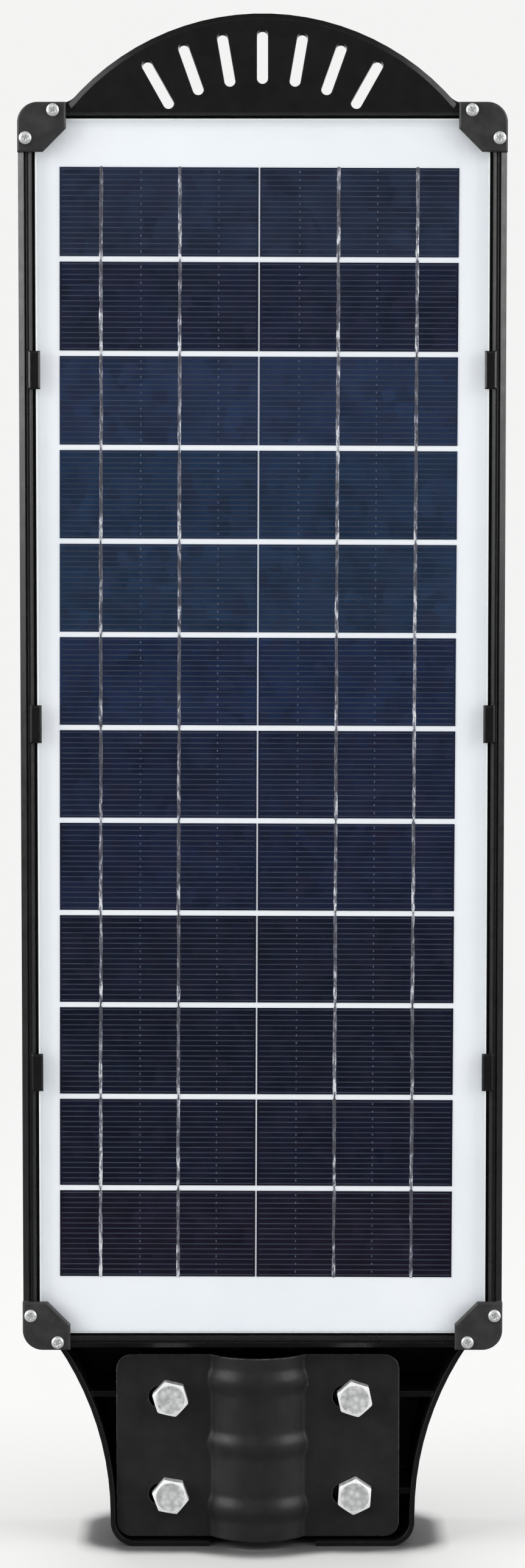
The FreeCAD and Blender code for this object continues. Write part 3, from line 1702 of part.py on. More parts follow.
def leads():
    """The panel's, the battery's and the LED boards' pairs of wires inside the housing."""
    halves = ("0 - lead_pitch / 2", "lead_pitch / 2")
    panel_runs = []
    battery_runs = []
    led_runs = []
    for side, half in zip((-1, 1), halves):
        start = f"2 * ({half})"
        end = f"{half} - panel_connector"
        panel_runs.append(
            [
                (start, "panel_back + lead_drop", "cover_mid + box_height / 2"),
                (start, "panel_back + lead_drop", "cover_mid + panel_lead_rise"),
                (end, "lead_depth", "sensor_up - panel_lead_dip"),
                (end, "lead_depth", "lead_end"),
            ]
        )
        start = f"{side} * strip_outside"
        end = f"{half} + battery_connector"
        battery_runs.append(
            [
                (start, "battery_axis", "cover_mid + 1.6 * cell_can_pitch"),
                (start, "battery_axis", "cover_mid + 2 * cell_can_pitch + lead_loop"),
                (end, "lead_depth", "sensor_up - battery_lead_dip"),
                (end, "lead_depth", "lead_end"),
            ]
        )
        start = f"{half} + led_connector"
        inner = f"({half} + lead_pitch / 2)"
        outer = f"led_lead_side + lead_pitch - {inner}"
        end = f"led_lead_across - {inner}"
        led_runs.append(
            [
                (start, "lead_depth", "lead_end"),
                (start, "lead_depth", f"sensor_up - led_lead_dip + {inner}"),
                (outer, "lead_depth", f"sensor_up - led_lead_turn + {inner}"),
                (outer, "lead_depth", f"sensor_up + led_lead_rise - {inner}"),
                (end, "lead_depth", f"sensor_up + led_lead_return - {inner}"),
                (end, "lead_depth", "module_top"),
            ]
        )
    routes = {"panel_lead": panel_runs, "battery_lead": battery_runs, "led_lead": led_runs}
    for name, runs in routes.items():
        lead = doc.addObject("Part::Feature", name)
        lead.Shape = Part.Compound([wire(run) for run in runs])
        lead.Placement = Placement()
        node(lead, name)


def check():
    """Stop if any object failed or any sub-part is empty or broken."""
    doc.recompute()
    for thing in doc.Objects:
        if {"Invalid", "Error"} & set(thing.State):
            raise RuntimeError(f"{thing.Name} ({thing.Label}) is {thing.State}")
    for part in nodes:
        if part.Shape.isNull() or not part.Shape.isValid() or not part.Shape.Solids:
            raise RuntimeError(f"{part.Label} has no valid solid")


def write():
    """Write each sub-part to its own file."""
    os.makedirs("parts", exist_ok=True)
    for part in nodes:
        part.Shape.exportStep(f"parts/{part.Label}.step")


rim = rim_blank()
housing(rim)
clamp()
panel()
corner_caps(rim)
panel_clips()
battery()
battery_cover()
light_modules()
boards()
sensor()
switch()
leads()
check()
write()
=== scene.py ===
"""Visual model of the solar street lamp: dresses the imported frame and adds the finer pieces."""
import logging
import math
import random
from dataclasses import dataclass, field
from enum import Enum
from typing import Callable, Iterable, Sequence

import bmesh
import bpy
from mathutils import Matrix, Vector
from mathutils.geometry import delaunay_2d_cdt


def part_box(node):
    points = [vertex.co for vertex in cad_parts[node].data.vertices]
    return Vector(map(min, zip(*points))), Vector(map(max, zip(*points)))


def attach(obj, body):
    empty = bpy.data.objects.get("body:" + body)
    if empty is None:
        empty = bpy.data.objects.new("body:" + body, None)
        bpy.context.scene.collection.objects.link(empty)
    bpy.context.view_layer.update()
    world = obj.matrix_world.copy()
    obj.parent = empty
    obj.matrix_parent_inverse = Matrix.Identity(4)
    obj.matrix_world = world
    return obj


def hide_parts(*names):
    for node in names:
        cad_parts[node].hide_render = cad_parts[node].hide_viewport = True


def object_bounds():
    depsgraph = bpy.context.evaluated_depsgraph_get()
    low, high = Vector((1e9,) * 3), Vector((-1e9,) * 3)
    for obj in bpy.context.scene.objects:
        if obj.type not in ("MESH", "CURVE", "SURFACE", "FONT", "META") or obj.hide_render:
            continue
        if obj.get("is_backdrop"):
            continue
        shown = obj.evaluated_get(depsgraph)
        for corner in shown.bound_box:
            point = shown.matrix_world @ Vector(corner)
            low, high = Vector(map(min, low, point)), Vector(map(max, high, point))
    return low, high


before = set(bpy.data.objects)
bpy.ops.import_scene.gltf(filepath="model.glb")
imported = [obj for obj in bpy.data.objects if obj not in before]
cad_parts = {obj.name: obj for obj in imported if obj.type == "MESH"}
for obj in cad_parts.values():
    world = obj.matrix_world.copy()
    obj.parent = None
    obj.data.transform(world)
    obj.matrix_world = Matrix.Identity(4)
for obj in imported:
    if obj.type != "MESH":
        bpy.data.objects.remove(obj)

MM = 0.001
log = logging.getLogger("lamp")

Colour = tuple[float, float, float]
Ring = list[tuple[float, float, float]]


class Body(Enum):
    """The frame's bodies that pieces ride on."""

    LAMP = "lamp"
    CLAMP = "clamp"
    BUTTON = "button"
    BOLT_1 = "bolt_1"
    BOLT_2 = "bolt_2"
    BOLT_3 = "bolt_3"
    BOLT_4 = "bolt_4"


class Facing(Enum):
    """The side of the lamp that a screw's head looks to, as a turn about X from +Z."""

    PANEL = math.radians(90)
    LIGHT = math.radians(-90)


# Materials


class Wiring:
    """A material's node tree while it is being wired."""

    def __init__(self, name: str) -> None:
        """Start an empty tree with an output.

        Args:
            name: The material's name.
        """
        self.material = bpy.data.materials.new(name)
        self.material.use_nodes = True
        self.tree = self.material.node_tree
        self.tree.nodes.clear()
        self.output = self.add("ShaderNodeOutputMaterial")
        self.place = self.add("ShaderNodeTexCoord").outputs["Object"]

    def add(self, kind: str, settings: dict[str, object] | None = None, **inputs: object) -> bpy.types.Node:
        """Add a node.

        Args:
            kind: The node's type.
            settings: Properties of the node itself.
            **inputs: Values or sockets for its inputs; an underscore stands for a space.

        Returns:
            The node.
        """
        node = self.tree.nodes.new(kind)
        for key, value in (settings or {}).items():
            setattr(node, key, value)
        for key, value in inputs.items():
            self.feed(node.inputs[key.replace("_", " ")], value)
        return node

    def feed(self, socket: bpy.types.NodeSocket, value: object) -> None:
        """Link a socket into an input, or set its value.

        Args:
            socket: The input.
            value: A socket, a number, or a colour of three numbers.
        """
        if isinstance(value, bpy.types.NodeSocket):
            self.tree.links.new(value, socket)
        elif isinstance(value, tuple) and socket.type == "RGBA":
            socket.default_value = (*value[:3], 1.0)
        else:
            socket.default_value = value

    def maths(self, operation: str, *values: object) -> bpy.types.NodeSocket:
        """Combine numbers.

        Args:
            operation: The Math node's operation.
            *values: Its operands.

        Returns:
            The result's socket.
        """
        node = self.add("ShaderNodeMath", {"operation": operation})
        for socket, value in zip(node.inputs, values):
            self.feed(socket, value)
        return node.outputs[0]

    def stretched(self, scale: Sequence[float]) -> bpy.types.NodeSocket:
        """Object coordinates drawn out along the axes.

        Args:
            scale: A factor for each axis.

        Returns:
            The coordinates.
        """
        return self.add("ShaderNodeMapping", Vector=self.place, Scale=tuple(scale)).outputs[0]

    def noise(
        self, size: float, detail: float = 3.0, roughness: float = 0.55, scale: Sequence[float] = (1, 1, 1)
    ) -> bpy.types.NodeSocket:
        """Cloudy noise.

        Args:
            size: How large its features are, in metres.
            detail: How many octaves it has.
            roughness: How strong the finer octaves are.
            scale: Squeeze along the axes.

        Returns:
            A number from 0 to 1.
        """
        return self.add(
            "ShaderNodeTexNoise",
            Vector=self.stretched(scale),
            Scale=1 / size,
            Detail=detail,
            Roughness=roughness,
        ).outputs[0]

    def cells(
        self, size: float, output: str = "Color", scale: Sequence[float] = (1, 1, 1)
    ) -> bpy.types.NodeSocket:
        """Voronoi cells.

        Args:
            size: How large a cell is, in metres.
            output: Which output to take.
            scale: Squeeze along the axes.

        Returns:
            The output's socket.
        """
        node = self.add("ShaderNodeTexVoronoi", Vector=self.stretched(scale), Scale=1 / size)
        return node.outputs[output]

    def span(
        self, value: object, low: float, high: float, to_low: float = 0.0, to_high: float = 1.0
    ) -> bpy.types.NodeSocket:
        """Map a number from one span to another, clamped.

        Args:
            value: The number.
            low: Start of its span.
            high: End of its span.
            to_low: Start of the result's span.
            to_high: End of the result's span.

        Returns:
            The mapped number.
        """
        node = self.add("ShaderNodeMapRange")
        for key, number in zip(
            ("Value", "From Min", "From Max", "To Min", "To Max"), (value, low, high, to_low, to_high)
        ):
            self.feed(node.inputs[key], number)
        return node.outputs[0]

    def blend(self, share: object, first: object, second: object, kind: str = "MIX") -> bpy.types.NodeSocket:
        """Mix two colours.

        Args:
            share: How much of the second shows.
            first: The first colour.
            second: The second colour.
            kind: The Mix node's blend type.

        Returns:
            The mixed colour.
        """
        node = self.add("ShaderNodeMix", {"data_type": "RGBA", "blend_type": kind})
        self.feed(node.inputs[0], share)
        self.feed(node.inputs[6], first)
        self.feed(node.inputs[7], second)
        return node.outputs[2]

    def ramp(
        self, value: object, stops: Sequence[tuple[float, Colour]], constant: bool = False
    ) -> bpy.types.NodeSocket:
        """A colour ramp.

        Args:
            value: The number that picks the colour.
            stops: Places and colours.
            constant: Whether a stop's colour holds until the next.

        Returns:
            The colour.
        """
        node = self.add("ShaderNodeValToRGB", Fac=value)
        ramp = node.color_ramp
        ramp.interpolation = "CONSTANT" if constant else "LINEAR"
        while len(ramp.elements) < len(stops):
            ramp.elements.new(1.0)
        for element, (place, colour) in zip(ramp.elements, stops):
            element.position = place
            element.color = (*colour, 1.0)
        return node.outputs[0]

    def axis(self, name: str) -> bpy.types.NodeSocket:
        """One of the object coordinates, by its letter."""
        return self.add("ShaderNodeSeparateXYZ", Vector=self.place).outputs[name]

    def edges(self, radius: float) -> tuple[bpy.types.NodeSocket, bpy.types.NodeSocket]:
        """Rounded edges.

        Args:
            radius: The rounding's radius.

        Returns:
            The rounded normal, and a mask that is 1 on the edges.
        """
        rounded = self.add("ShaderNodeBevel", {"samples": 4}, Radius=radius).outputs[0]
        true = self.add("ShaderNodeNewGeometry").outputs["Normal"]
        dot = self.add("ShaderNodeVectorMath", {"operation": "DOT_PRODUCT"})
        self.feed(dot.inputs[0], rounded)
        self.feed(dot.inputs[1], true)
        return rounded, self.span(dot.outputs["Value"], 0.995, 0.86)

    def bump(self, height: object, depth: float, normal: object | None = None) -> bpy.types.NodeSocket:
        """Relief.

        Args:
            height: The relief's height, from 0 to 1.
            depth: What 1 stands for, in metres.
            normal: A normal to start from.

        Returns:
            The normal.
        """
        node = self.add("ShaderNodeBump", Height=height, Distance=depth, Strength=1.0)
        if normal is not None:
            self.feed(node.inputs["Normal"], normal)
        return node.outputs[0]

    def close(self, surface: bpy.types.NodeSocket) -> bpy.types.Material:
        """Link the surface to the output and give back the material."""
        self.tree.links.new(surface, self.output.inputs["Surface"])
        return self.material


@dataclass(frozen=True)
class Finish:
    """A solid finish: blotches of two colours, edges lightened in patches by wear and by a painted edge
    highlight, and a fine grain.

    Attributes:
        name: The material's name.
        colour: Its main colour.
        second: The colour of its blotches.
        edge: The colour along its edges.
        edge_share: How much of the edge colour shows.
        blotch: How large its blotches are.
        grain: How large its grain is.
        grain_depth: How deep its grain is.
        rough: Its roughness, lowest and highest.
        metallic: How metallic it is.
        rounding: The radius that its edges look rounded to.
        stretch: Squeeze of the grain along the axes.
        coat: Clear coat weight.
        gloss: How much its skin reflects.
    """

    name: str
    colour: Colour
    second: Colour
    edge: Colour = (0.1, 0.1, 0.1)
    edge_share: float = 0.0
    blotch: float = 12 * MM
    grain: float = 0.5 * MM
    grain_depth: float = 0.02 * MM
    rough: tuple[float, float] = (0.4, 0.55)
    metallic: float = 0.0
    rounding: float = 0.25 * MM
    stretch: tuple[float, float, float] = (1, 1, 1)
    coat: float = 0.0
    gloss: float = 0.5

    def relief(self, wiring: Wiring) -> bpy.types.NodeSocket:
        """Height of the surface's own texture."""
        return wiring.noise(self.grain, 2.0, 0.6, self.stretch)

    def tint(self, wiring: Wiring) -> bpy.types.NodeSocket:
        """Colour of the surface before its edges."""
        clouds = wiring.span(wiring.noise(self.blotch, 4.0, 0.6), 0.36, 0.64)
        return wiring.blend(clouds, self.colour, self.second)

    def material(self) -> bpy.types.Material:
        """Wire the material.

        Returns:
            The material.
        """
        wiring = Wiring(self.name)
        rounded, edge = wiring.edges(self.rounding)
        # Lighter edge colour in patches: partly wear, partly a painted edge highlight.
        edge_patches = wiring.span(wiring.noise(2.5 * MM, 3.0), 0.35, 0.6)
        edge_wear_and_sheen = wiring.maths("MULTIPLY", wiring.maths("MULTIPLY", edge, self.edge_share), edge_patches)
        tone = wiring.blend(edge_wear_and_sheen, self.tint(wiring), self.edge)
        rough = wiring.span(wiring.noise(self.blotch / 3, 4.0, 0.65), 0.3, 0.7, *self.rough)
        shader = wiring.add(
            "ShaderNodeBsdfPrincipled",
            Base_Color=tone,
            Roughness=rough,
            Metallic=self.metallic,
            Coat_Weight=self.coat,
            Specular_IOR_Level=self.gloss,
            Normal=wiring.bump(self.relief(wiring), self.grain_depth, rounded),
        )
        return wiring.close(shader.outputs[0])


@dataclass(frozen=True)
class HammeredZinc(Finish):
    """Zinc plating on forged steel: small facets, pits and milky patches."""

    spangle: float = 0.9 * MM

    def tint(self, wiring: Wiring) -> bpy.types.NodeSocket:
        """Patches of bright and dull plating with dark pits.

        Args:
            wiring: The material's nodes.

        Returns:
            The colour.
        """
        facets = wiring.span(wiring.cells(self.spangle, "Distance"), 0.1, 0.75)
        base = wiring.blend(facets, self.colour, self.second)
        pits = wiring.span(wiring.noise(self.spangle, 5.0, 0.7), 0.6, 0.72)
        return wiring.blend(wiring.maths("MULTIPLY", pits, 0.7), base, self.edge)

    def relief(self, wiring: Wiring) -> bpy.types.NodeSocket:
        """Uneven forging under the plating."""
        facets = wiring.cells(self.spangle, "Distance")
        return wiring.maths("ADD", wiring.maths("MULTIPLY", facets, 0.5), wiring.noise(self.grain, 4.0, 0.7))


@dataclass(frozen=True)
class CircuitBoard(Finish):
    """Solder mask over copper tracks, with drilled pads."""

    track: float = 1.6 * MM

    def tint(self, wiring: Wiring) -> bpy.types.NodeSocket:
        """Tracks a shade lighter than the mask, and tinned pads.

        Args:
            wiring: The material's nodes.

        Returns:
            The colour.
        """
        lines = wiring.span(wiring.cells(self.track * 3, "Distance", (1, 0.001, 0.3)), 0.28, 0.3)
        pads = wiring.span(wiring.cells(self.track * 2.2, "Distance", (1, 0.001, 1)), 0.17, 0.14)
        return wiring.blend(pads, wiring.blend(lines, self.second, self.colour), self.edge)


@dataclass(frozen=True)
class WoundCopper(Finish):
    """Enamelled wire wound side by side."""

    wire: float = 0.8 * MM

    def relief(self, wiring: Wiring) -> bpy.types.NodeSocket:
        """Round wires next to each other.

        Args:
            wiring: The material's nodes.

        Returns:
            The height.
        """
        return wiring.add(
            "ShaderNodeTexWave",
            {"bands_direction": "Z"},
            Vector=wiring.place,
            Scale=0.314 / self.wire,
            Distortion=0.4,
        ).outputs[1]


@dataclass(frozen=True)
class Clear:
    """A clear plastic or glass that shows what lies behind it, with a haze and a gloss.

    Attributes:
        name: The material's name.
        tint: The colour of light that passes.
        haze: The colour of its own faint body.
        body: How much of the body shows.
        ripple: How large its ripples are.
        ripple_depth: How deep its ripples are.
        rough: Roughness of its gloss.
        ribs: Pitch of moulded prisms across X, or 0 for none.
    """

    name: str
    tint: Colour = (0.97, 0.98, 0.98)
    haze: Colour = (0.8, 0.82, 0.84)
    body: float = 0.03
    ripple: float = 18 * MM
    ripple_depth: float = 0.03 * MM
    rough: float = 0.04
    ribs: float = 0.0

    def material(self) -> bpy.types.Material:
        """Wire the material.

        Returns:
            The material.
        """
        wiring = Wiring(self.name)
        height = wiring.noise(self.ripple, 2.0)
        depth = self.ripple_depth
        if self.ribs:
            height = wiring.add(
                "ShaderNodeTexWave", {"bands_direction": "X"}, Vector=wiring.place, Scale=0.314 / self.ribs
            ).outputs[1]
            depth = self.ribs * 0.22
        normal = wiring.bump(height, depth)
        outside = wiring.maths("SUBTRACT", 1.0, wiring.add("ShaderNodeNewGeometry").outputs["Backfacing"])
        gloss_share = wiring.maths(
            "MULTIPLY", outside, wiring.add("ShaderNodeFresnel", IOR=1.45, Normal=normal).outputs[0]
        )
        smear = wiring.span(wiring.noise(self.ripple * 1.7, 5.0, 0.65), 0.35, 0.75, self.rough, self.rough * 2.5)
        through = wiring.add("ShaderNodeBsdfTransparent", Color=self.tint).outputs[0]
        milk_tone = wiring.blend(wiring.noise(self.ripple * 2), self.haze, tuple(0.92 * c for c in self.haze))
        milk = wiring.add("ShaderNodeBsdfDiffuse", Color=milk_tone).outputs[0]
        gloss = wiring.add("ShaderNodeBsdfGlossy", Color=(1, 1, 1), Roughness=smear, Normal=normal).outputs[0]
        body = wiring.add("ShaderNodeMixShader", Fac=self.body)
        self.join(wiring, body, through, milk)
        skin = wiring.add("ShaderNodeMixShader", Fac=gloss_share)
        self.join(wiring, skin, body.outputs[0], gloss)
        return wiring.close(skin.outputs[0])

    @staticmethod
    def join(
        wiring: Wiring, mix: bpy.types.Node, first: bpy.types.NodeSocket, second: bpy.types.NodeSocket
    ) -> None:
        """Link two shaders into a Mix Shader.

        Args:
            wiring: The tree.
            mix: The Mix Shader.
            first: Its first shader.
            second: Its second shader.
        """
        wiring.feed(mix.inputs[1], first)
        wiring.feed(mix.inputs[2], second)


@dataclass(frozen=True)
class Silicon:
    """Polycrystalline solar cells: a tone for each row and crystal grain.

    Attributes:
        name: The material's name.
        rows: A tone for each row, from the top one down; they differ at random and grow lighter and bluer
            towards the top as a painted reflection.
        low: Where the lowest row starts.
        high: Where the highest row ends.
        crystal: How large a crystal is.
    """

    name: str
    rows: tuple[Colour, ...]
    low: float
    high: float
    crystal: float = 5 * MM

    def material(self) -> bpy.types.Material:
        """Wire the material.

        Returns:
            The material.
        """
        wiring = Wiring(self.name)
        count = len(self.rows)
        up = wiring.span(wiring.axis("Z"), self.low, self.high)
        stops = [(i / count, tone) for i, tone in enumerate(reversed(self.rows))]
        row_tone = wiring.ramp(up, stops, constant=True)
        crystals = wiring.add("ShaderNodeSeparateColor", Color=wiring.cells(self.crystal, "Color", (1, 0.2, 1)))
        light = wiring.span(crystals.outputs[0], 0.0, 1.0, 0.78, 1.24)
        clouds = wiring.span(wiring.noise(26 * MM, 3.0), 0.3, 0.7, 0.88, 1.14)
        grey = wiring.add("ShaderNodeCombineColor", Red=wiring.maths("MULTIPLY", light, clouds))
        for key in ("Green", "Blue"):
            wiring.feed(grey.inputs[key], wiring.maths("MULTIPLY", light, clouds))
        tone = wiring.blend(1.0, row_tone, grey.outputs[0], "MULTIPLY")
        purple = wiring.span(crystals.outputs[1], 0.55, 1.0, 0.0, 0.16)
        tone = wiring.blend(purple, tone, (0.03, 0.016, 0.045))
        rough = wiring.span(crystals.outputs[2], 0.0, 1.0, 0.34, 0.58)
        fine = wiring.noise(0.25 * MM, 3.0, 0.7)
        shader = wiring.add(
            "ShaderNodeBsdfPrincipled",
            Base_Color=tone,
            Roughness=rough,
            Metallic=0.0,
            Specular_IOR_Level=0.12,
            Normal=wiring.bump(fine, 0.01 * MM),
        )
        return wiring.close(shader.outputs[0])


@dataclass(frozen=True)
class Solder:
    """Tinned copper ribbon in dark and bright blotches; the bright blotches are painted glints, added most near
    the lower edge of each row.

    Attributes:
        name: The material's name.
        low: Where the lowest row of cells starts.
        pitch: From one row of cells to the next.
        bright: Its colour where the solder shines.
        dull: Its colour elsewhere.
    """

    name: str
    low: float
    pitch: float
    bright: Colour = (0.92, 0.93, 0.95)
    dull: Colour = (0.1, 0.1, 0.12)

    def material(self) -> bpy.types.Material:
        """Wire the material.

        Returns:
            The material.
        """
        wiring = Wiring(self.name)
        lumps = wiring.noise(2.6 * MM, 4.0, 0.75, (1.6, 1, 0.45))
        runs = wiring.noise(60 * MM, 2.0, 0.5, (5, 1, 1))
        rows = wiring.maths("DIVIDE", wiring.maths("SUBTRACT", wiring.axis("Z"), self.low), self.pitch)
        # Painted glints: bright blotches from the lumps and runs, strongest near the lower edge of each row.
        soldered = wiring.span(wiring.maths("FRACT", rows), 0.1, 0.5, 0.6, -0.12)
        shine = wiring.maths("ADD", wiring.span(lumps, 0.44, 0.66), wiring.span(runs, 0.42, 0.68, -0.25, 0.3))
        shine = wiring.maths("ADD", shine, wiring.maths("MULTIPLY", soldered, wiring.span(lumps, 0.34, 0.6)))
        tone = wiring.ramp(shine, [(0.0, self.dull), (0.45, (0.26, 0.26, 0.31)), (1.0, self.bright)])
        shader = wiring.add(
            "ShaderNodeBsdfPrincipled",
            Base_Color=tone,
            Metallic=0.35,
            Roughness=wiring.span(lumps, 0.3, 0.7, 0.5, 0.28),
            Normal=wiring.bump(lumps, 0.12 * MM),
        )
        return wiring.close(shader.outputs[0])


@dataclass(frozen=True)
class DomeWhite(Finish):
    """Milky plastic, moulded inside into small round lenses."""

    lens: float = 3.1 * MM

    def relief(self, wiring: Wiring) -> bpy.types.NodeSocket:
        """Shallow lenses side by side."""
        return wiring.maths("SUBTRACT", 1.0, wiring.cells(self.lens, "Distance"))


# The black plastic's lighter edge colour is partly wear and partly a painted edge sheen.
BLACK_ABS = Finish(
    "black_abs", (0.0068, 0.0066, 0.0066), (0.0088, 0.0085, 0.0085), (0.05, 0.05, 0.052), 0.35,
    blotch=16 * MM, grain=0.32 * MM, grain_depth=0.014 * MM, rough=(0.25, 0.35), rounding=0.5 * MM, gloss=0.5,
)
CAP_PLASTIC = Finish(
    "cap_plastic", (0.024, 0.024, 0.025), (0.036, 0.036, 0.037), (0.1, 0.1, 0.1), 0.4,
    blotch=6 * MM, grain=0.3 * MM, grain_depth=0.016 * MM, rough=(0.4, 0.55), rounding=0.35 * MM, gloss=0.35,
)
DARK_BOX = Finish(
    "dark_box", (0.014, 0.014, 0.015), (0.022, 0.022, 0.023), blotch=8 * MM, grain=0.4 * MM, rough=(0.4, 0.6)
)
# The plate's light edge colour is partly chipped paint and partly a painted highlight along its edges and folds.
PAINTED_STEEL = Finish(
    "painted_steel", (0.0142, 0.0142, 0.0142), (0.0195, 0.0182, 0.0182), (0.3, 0.3, 0.3), 0.9,
    blotch=9 * MM, grain=1.4 * MM, grain_depth=0.05 * MM, rough=(0.34, 0.46), rounding=0.5 * MM, gloss=0.4,
)
ZINC_BOLT = HammeredZinc(
    "zinc_bolt",
    (0.92, 0.93, 0.92),
    (0.55, 0.56, 0.56),
    (0.12, 0.12, 0.12),
    grain=0.8 * MM,
    grain_depth=0.1 * MM,
    rough=(0.3, 0.5),
    metallic=0.4,
    rounding=0.2 * MM,
    spangle=2.4 * MM,
)
ZINC_RIM = HammeredZinc(
    "zinc_rim", (0.95, 0.95, 0.95), (0.84, 0.85, 0.85), (0.5, 0.5, 0.5), grain=0.6 * MM, grain_depth=0.02 * MM,
    rough=(0.3, 0.45), metallic=0.2, rounding=0.15 * MM,
)
ZINC_SCREW = HammeredZinc(
    "zinc_screw", (0.93, 0.93, 0.93), (0.76, 0.77, 0.78), (0.3, 0.3, 0.3), grain=0.5 * MM, grain_depth=0.03 * MM,
    rough=(0.22, 0.4), metallic=0.6, rounding=0.1 * MM, spangle=0.5 * MM,
)
CHROME = Finish(
    "reflector_chrome",
    (0.86, 0.87, 0.88),
    (0.8, 0.81, 0.82),
    blotch=9 * MM,
    grain=3 * MM,
    grain_depth=0.02 * MM,
    rough=(0.08, 0.18),
    metallic=1.0,
)
NICKEL = Finish(
    "nickel_strip", (0.62, 0.6, 0.56), (0.52, 0.5, 0.47), blotch=5 * MM, grain=0.6 * MM, rough=(0.25, 0.4),
    metallic=1.0, stretch=(1, 1, 0.1),
)
BRASS = Finish(
    "brass",
    (0.75, 0.56, 0.26),
    (0.62, 0.44, 0.2),
    blotch=4 * MM,
    grain=0.3 * MM,
    rough=(0.25, 0.42),
    metallic=1.0,
)
BACKING = Finish(
    "white_backing",
    (0.8, 0.82, 0.845),
    (0.84, 0.855, 0.875),
    blotch=70 * MM,
    grain=2 * MM,
    grain_depth=0.02 * MM,
    rough=(0.5, 0.65),
    rounding=0.1 * MM,
)
PRINTED_SILVER = Finish(
    "printed_silver", (0.02, 0.029, 0.054), (0.032, 0.043, 0.075), blotch=9 * MM, grain=0.2 * MM,
    grain_depth=0.01 * MM, rough=(0.4, 0.6), rounding=0.03 * MM,
)
PRINTED_DOTS = Finish(
    "printed_dots",
    (0.06, 0.075, 0.12),
    (0.12, 0.14, 0.21),
    blotch=14 * MM,
    grain=0.2 * MM,
    grain_depth=0.01 * MM,
    rough=(0.4, 0.6),
    rounding=0.03 * MM,
)
FOAM = Finish(
    "grey_foam",
    (0.03, 0.03, 0.03),
    (0.05, 0.05, 0.05),
    grain=0.7 * MM,
    grain_depth=0.2 * MM,
    rough=(0.85, 0.95),
)
RUBBER = Finish(
    "seal_rubber",
    (0.011, 0.011, 0.011),
    (0.018, 0.018, 0.018),
    grain=0.5 * MM,
    grain_depth=0.03 * MM,
    rough=(0.6, 0.8),
)
LED_BOARD = CircuitBoard(
    "led_board",
    (0.82, 0.82, 0.8),
    (0.74, 0.74, 0.72),
    (0.78, 0.7, 0.45),
    rough=(0.3, 0.45),
    grain_depth=0.01 * MM,
)
GREEN_BOARD = CircuitBoard(
    "green_board",
    (0.01, 0.12, 0.035),
    (0.015, 0.2, 0.06),
    (0.7, 0.68, 0.6),
    rough=(0.25, 0.4),
    grain_depth=0.01 * MM,
)
LED_CHIP = Finish(
    "led_phosphor", (0.85, 0.62, 0.08), (0.9, 0.7, 0.14), (0.9, 0.9, 0.85), 0.8, blotch=3 * MM, grain=0.4 * MM,
    rough=(0.35, 0.5), rounding=0.5 * MM,
)
DOME = DomeWhite(
    "dome_white", (0.8, 0.8, 0.77), (0.74, 0.745, 0.72), blotch=6 * MM, grain_depth=0.5 * MM, rough=(0.32, 0.45)
)
SMOKED = Finish(
    "window_dark",
    (0.006, 0.004, 0.007),
    (0.012, 0.007, 0.01),
    blotch=5 * MM,
    grain=4 * MM,
    rough=(0.06, 0.14),
    coat=0.5,
)
LIGHT_PIPE = Finish(
    "light_pipe", (0.66, 0.7, 0.68), (0.56, 0.62, 0.6), blotch=2 * MM, grain=1 * MM, rough=(0.12, 0.25), coat=0.4
)
BUTTON_RED = Finish(
    "button_red", (0.5, 0.012, 0.01), (0.42, 0.01, 0.008), (0.7, 0.08, 0.06), 0.4, blotch=4 * MM, grain=0.3 * MM,
    grain_depth=0.015 * MM, rough=(0.25, 0.4), rounding=0.5 * MM,
)
BEZEL = Finish(
    "bezel_black",
    (0.012, 0.012, 0.012),
    (0.02, 0.02, 0.02),
    grain=0.3 * MM,
    rough=(0.3, 0.45),
    rounding=0.3 * MM,
)
BATTERY_WRAP = Finish(
    "battery_wrap", (0.02, 0.17, 0.42), (0.018, 0.14, 0.36), blotch=20 * MM, grain=6 * MM, grain_depth=0.05 * MM,
    rough=(0.22, 0.36), coat=0.2,
)
COIL = WoundCopper(
    "copper_coil", (0.62, 0.2, 0.07), (0.5, 0.15, 0.05), grain_depth=0.3 * MM, rough=(0.25, 0.4), metallic=0.8
)
CAPACITOR = Finish(
    "capacitor_sleeve", (0.012, 0.014, 0.03), (0.02, 0.022, 0.045), grain=0.8 * MM, rough=(0.25, 0.4)
)
HEAT_SINK = Finish(
    "heat_sink",
    (0.55, 0.56, 0.57),
    (0.46, 0.47, 0.48),
    grain=0.5 * MM,
    rough=(0.35, 0.5),
    metallic=1.0,
    stretch=(1, 1, 0.1),
)
CONNECTOR = Finish("connector_white", (0.76, 0.75, 0.68), (0.7, 0.69, 0.62), grain=0.5 * MM, rough=(0.4, 0.55))
SENSOR_CAN = Finish(
    "sensor_can",
    (0.68, 0.66, 0.6),
    (0.58, 0.56, 0.52),
    blotch=3 * MM,
    grain=0.4 * MM,
    rough=(0.2, 0.35),
    metallic=1.0,
)
WIRE = Finish(
    "wire_sleeve", (0.02, 0.02, 0.02), (0.035, 0.035, 0.035), blotch=9 * MM, grain=0.6 * MM, rough=(0.35, 0.5)
)
CLEAR_LENS = Clear("lens_clear", body=0.05, ribs=0.0, ripple=9 * MM, ripple_depth=0.06 * MM, rough=0.05)
GLASS = Clear(
    "panel_glass", tint=(0.985, 0.99, 0.995), body=0.0012, ripple=40 * MM, ripple_depth=0.004 * MM, rough=0.03
)
GLASS_EDGE = Clear(
    "panel_glass_edge", haze=(0.86, 0.9, 0.9), body=0.55, ripple=3 * MM, ripple_depth=0.05 * MM, rough=0.2
)


